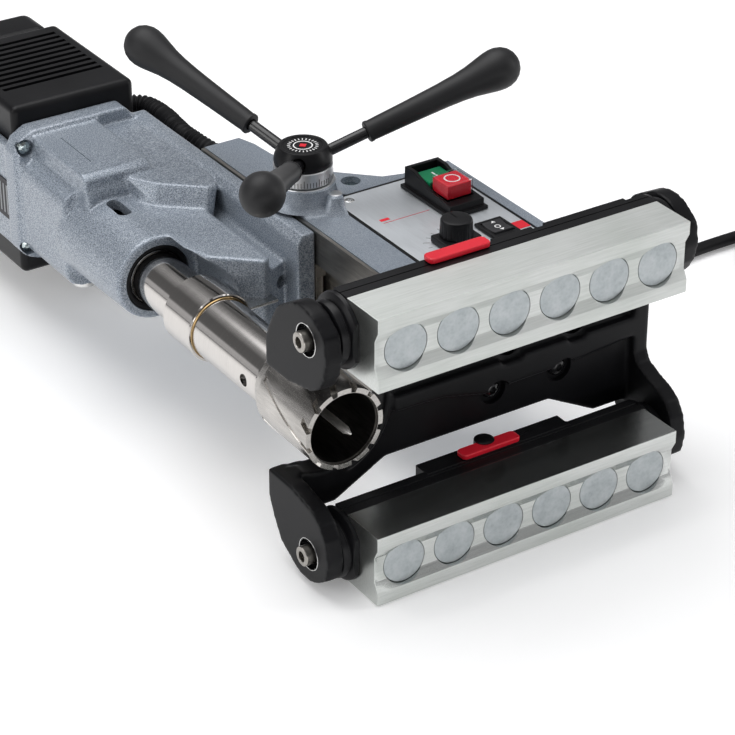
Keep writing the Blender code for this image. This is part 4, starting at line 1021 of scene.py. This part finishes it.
def cutter():
    """The hollow cutter with twelve notches in its rim and six winding flutes, a dark lining just inside its bore
    that paints the shade in the cup, and the pilot pin inside it.
    """
    shell = turned("annular_cutter", SPINDLE, -Y,
                   [(24.2, -48), (27.5, -48), (27.5, -104), (26.6, -107.5), (22.4, -112), (21.6, -116.8),
                    (5.3, -116.8), (5.3, -104), (24.2, -104)], 120, whole=False)
    notches = [flute("notch", 2 * pi * (i + 0.5) / 12, 44, 56, 24.4, 4.4) for i in range(12)]
    flutes = [flute("flute", 2 * pi * (i + 0.25) / 6, 54, 103, 26.7, 4.6) for i in range(6)]
    cut(shell, *notches, *flutes)
    done(shell, CUTTER_STEEL, "spindle", ("cutter",), 25)
    # painted shade: a dark steel sheet just inside the cutter's own bore darkens the inside of the cup
    shade_liner = turned("cutter_bore_shade", SPINDLE, -Y,
                   [(23.5, -50), (24.15, -50), (24.15, -103.8), (5.3, -103.8), (5.3, -103.2), (23.5, -103.2)],
                   96, whole=False)
    done(shade_liner, BORE_SHADE_STEEL, "spindle")
    # the pin's steel is its own bright finish, partly lightened as painted light for the pin lit in the bore
    pin = turned("pilot", SPINDLE, -Y,
                 [(0, -41), (0.5, -41.2), (2.7, -47.5), (2.7, -102.6), (5, -103), (5, -128), (0, -128)], 40)
    done(pin, PIN_STEEL_LIT, "pilot", ("pilot_pin",), 25)


def flute(name, turn, start, end, floor, wide):
    """Tool for one flute, wide at radius 31 and narrower at radius floor, winding back from y start to end."""
    work = bmesh.new()
    corners = ((floor, -wide * 0.36), (31, -wide * 0.7), (31, wide * 0.7), (floor, wide * 0.36))
    rings = []
    for i in range(13):
        y = start + (end - start) * i / 12
        angle = turn - (y - 48) * 0.016
        out = Vector((cos(angle), 0, sin(angle)))
        side = Vector((-sin(angle), 0, cos(angle)))
        rings.append([work.verts.new(SPINDLE + Vector((0, y, 0)) + out * r + side * w) for r, w in corners])
    return skin(name, work, rings)


def conduit():
    """The corrugated sleeve from the housing to the motor, built in one fixed shape; on the machine it stretches
    between them as the drill feeds.
    """
    out = Vector((36, 22, 0)).normalized()
    start = Vector((17.0, 289.0, 0.0)) + out * 0.3
    route = [start, start + out * 5, start + out * 12, (33, 312, 0), (29, 336, 4), (15, 364, 11), (0, 388, 20),
             (-8, 412, 26), (-8, 440, 29), (-11, 460, 30), (-19, 469, 30), (-25, 470, 30), (-30.9, 470, 30)]
    pitch = 3.6
    coarse = smooth_route(route, 30)
    points, radii, travelled = [coarse[0]], [8.0], 0.0
    for a, b in zip(coarse, coarse[1:]):
        travelled += (b - a).length
        points.append(b)
        radii.append(7.2 + 0.8 * cos(travelled * 2 * pi / pitch))
    obj = tube("corrugated_sleeve", points, radii, 20)
    done(obj, RUBBER, None, ("cable_conduit",), 60)
    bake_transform(obj)


gear_case()
head_screws()
sump_plug()
rating_plate()
spindle_seal()
limit_plate()
motor()
spindle()
cutter()
conduit()


# ---- capstan

ARM_LEAN = radians(18)


def round_capstan(obj, turn):
    """Turns a piece that was made at the datum's origin, and moves it onto the capstan's axis."""
    obj.data.transform(Matrix.Translation(world(CAPSTAN)) @ Matrix.Rotation(turn, 4, "Z")
                       @ Matrix.Translation(-world((0, 0, 0))))


def feed_dial():
    shaft = turned("feed_shaft", CAPSTAN, Z, [(0, 80), (7, 80), (7, 54), (8, 53), (8, -38), (0, -38)], 48)
    done(shaft, BRIGHT, "capstan")
    dial = turned("feed_dial", CAPSTAN, Z,
                  [(19.3, 72.8), (19.8, 72.3), (19.8, 62.8), (19.3, 62.1), (10.4, 62.1), (10.4, 72.8)], 96,
                  whole=False)
    done(dial, DIAL, "capstan", ("dial_ring",), 30)
    count = 60
    for i in range(count):
        tall = 5.4 if i % 5 == 0 else 3.6
        mark = box(f"dial_mark_{i + 1}", (19.6, -0.2, 63), (19.92, 0.2, 63.0 + tall))
        round_capstan(mark, 2 * pi * i / count)
        done(mark, BLACK, "capstan")


def capstan():
    """The hub with its three leaning rods, each in a way bored for it, and the grips on them."""
    hub = turned("capstan_boss", CAPSTAN, Z,
                 [(0, 85), (13.2, 85), (13.5, 85.5), (15, 85.8), (16, 85.5), (16.6, 84.8), (18.2, 81.5),
                  (19.2, 78.6), (19.6, 76.2), (19.5, 74.5), (19, 73.2), (18.6, 72.9), (7.3, 72.9), (7.3, 80.3),
                  (0, 80.3)], 96)
    centre = CAPSTAN + Z * 72.4
    profile = [(0, 160.8), (3.5, 160.35), (7, 159), (10.2, 156.5), (12.6, 153), (14, 148.6), (14.2, 144.5),
               (13.6, 139.5), (12.2, 133), (10.6, 125.5), (9.4, 116), (8.6, 104), (8, 88), (7.5, 70), (7.2, 56),
               (7, 50), (7.4, 49.4), (7.4, 47.6), (6.8, 47), (4.4, 47), (4.4, 94), (0, 94)]
    for i in range(3):
        turn = radians(228 + 120 * i)
        along = Vector((cos(turn) * cos(ARM_LEAN), sin(turn) * cos(ARM_LEAN), sin(ARM_LEAN)))
        cut(hub, rod("way", centre + along * 13.5, along, 5.3, 40, 40))
        arm = rod(f"capstan_rod_{i + 1}", centre + along * 13.8, along, 4.0, 76, 40)
        done(arm, GLOSS_BLACK, "capstan", (f"capstan_arm_{i + 1}",), 40)
        grip = turned(f"capstan_ball_{i + 1}", centre, along, profile, 56)
        done(grip, BALL_GRIP, "capstan", (f"capstan_grip_{i + 1}",), 40)
    done(hub, BLACK, "capstan", ("capstan_hub",), 30)


def capstan_badge():
    ring = turned("badge_ring", CAPSTAN + Z * 85.0, Z,
                  [(5.8, 0.2), (6.6, 0.2), (6.6, 0), (5.8, 0)], 64, whole=False)
    done(ring, WHITE, "capstan")
    done(rod("badge_mark", CAPSTAN + Z * 84.9, Z, 2.9, 0.35, 4), RED, "capstan")
    count = 24
    for i in range(count):
        dash = box(f"badge_dash_{i + 1}", (8.4, -0.35, 84.9), (10.4, 0.35, 85.2))
        round_capstan(dash, 2 * pi * i / count)
        done(dash, WHITE, "capstan")


feed_dial()
capstan()
capstan_badge()


# ---- carried-over nodes

def repaint(paint, *nodes):
    for node in nodes:
        obj = frame["nodes"][node]
        obj.data.materials.clear()
        obj.data.materials.append(paint)


repaint(HOUSING_PAINT, "side_cover")
repaint(WAY_STEEL, "slide_way", "dovetail_slide", "rack", "spindle_gear", "motor_stator")
repaint(BRASS, "gib_strip")
repaint(BOARD, "circuit_board")
repaint(BRIGHT, "spindle_bearing", "capstan_shaft")
repaint(COPPER, "armature")


# ---- studio

def area(name, location, target, size, power):
    light = bpy.data.lights.new(name, "AREA")
    light.shape = "RECTANGLE"
    light.size, light.size_y = size
    light.energy = power
    obj = bpy.data.objects.new(name, light)
    bpy.context.scene.collection.objects.link(obj)
    obj.location = location
    obj.rotation_euler = (Vector(target) - Vector(location)).to_track_quat("-Z", "Y").to_euler()


SKY = ((0.0, 0.1), (0.02, 0.5), (0.2, 0.56), (0.27, 0.14), (0.55, 0.12), (0.65, 0.35), (0.68, 2.2), (0.71, 0.5),
       (1, 0.5))  # brightness from the horizon, and all below it, to straight above


def ground():
    work = bmesh.new()
    bmesh.ops.create_grid(work, x_segments=1, y_segments=1, size=6)
    mesh = bpy.data.meshes.new("floor")
    work.to_mesh(mesh)
    work.free()
    floor = bpy.data.objects.new("floor", mesh)
    bpy.context.scene.collection.objects.link(floor)
    floor.location = (0, 0, -0.0006)
    paint = Paint("floor", (0.93, 0.93, 0.93), 0.9)
    paint.feed(paint.shader, {"Emission Color": (1, 1, 1, 1), "Emission Strength": 0.2})
    floor.data.materials.append(paint.material)


def sky():
    made = bpy.data.worlds.new("studio")
    bpy.context.scene.world = made
    nodes = Nodes(made)
    direction = nodes.node("ShaderNodeTexCoord", {}).outputs["Generated"]
    height = nodes.node("ShaderNodeSeparateXYZ", {"Vector": direction}).outputs["Z"]
    light = nodes.ramp(height, *[(position, (level, level, level * 1.02)) for position, level in SKY])
    nodes.feed(nodes.tree.nodes["Background"], {"Color": light, "Strength": 1.0})


def lamps():
    area("top", (-0.1, 0.35, 1.6), (0, 0, 0.1), (1.5, 1.2), 18)
    area("left", (-1.9, 0.1, 0.9), (0, 0, 0.1), (0.5, 1.2), 8)
    area("right", (1.6, -1.1, 0.9), (0, -0.05, 0.1), (0.3, 1.1), 7)
    area("fill", (-0.3, -1.9, 0.16), (0, -0.1, 0.02), (1.6, 0.26), 4)


ground()
sky()
lamps()
bpy.context.scene.view_settings.view_transform = "Standard"
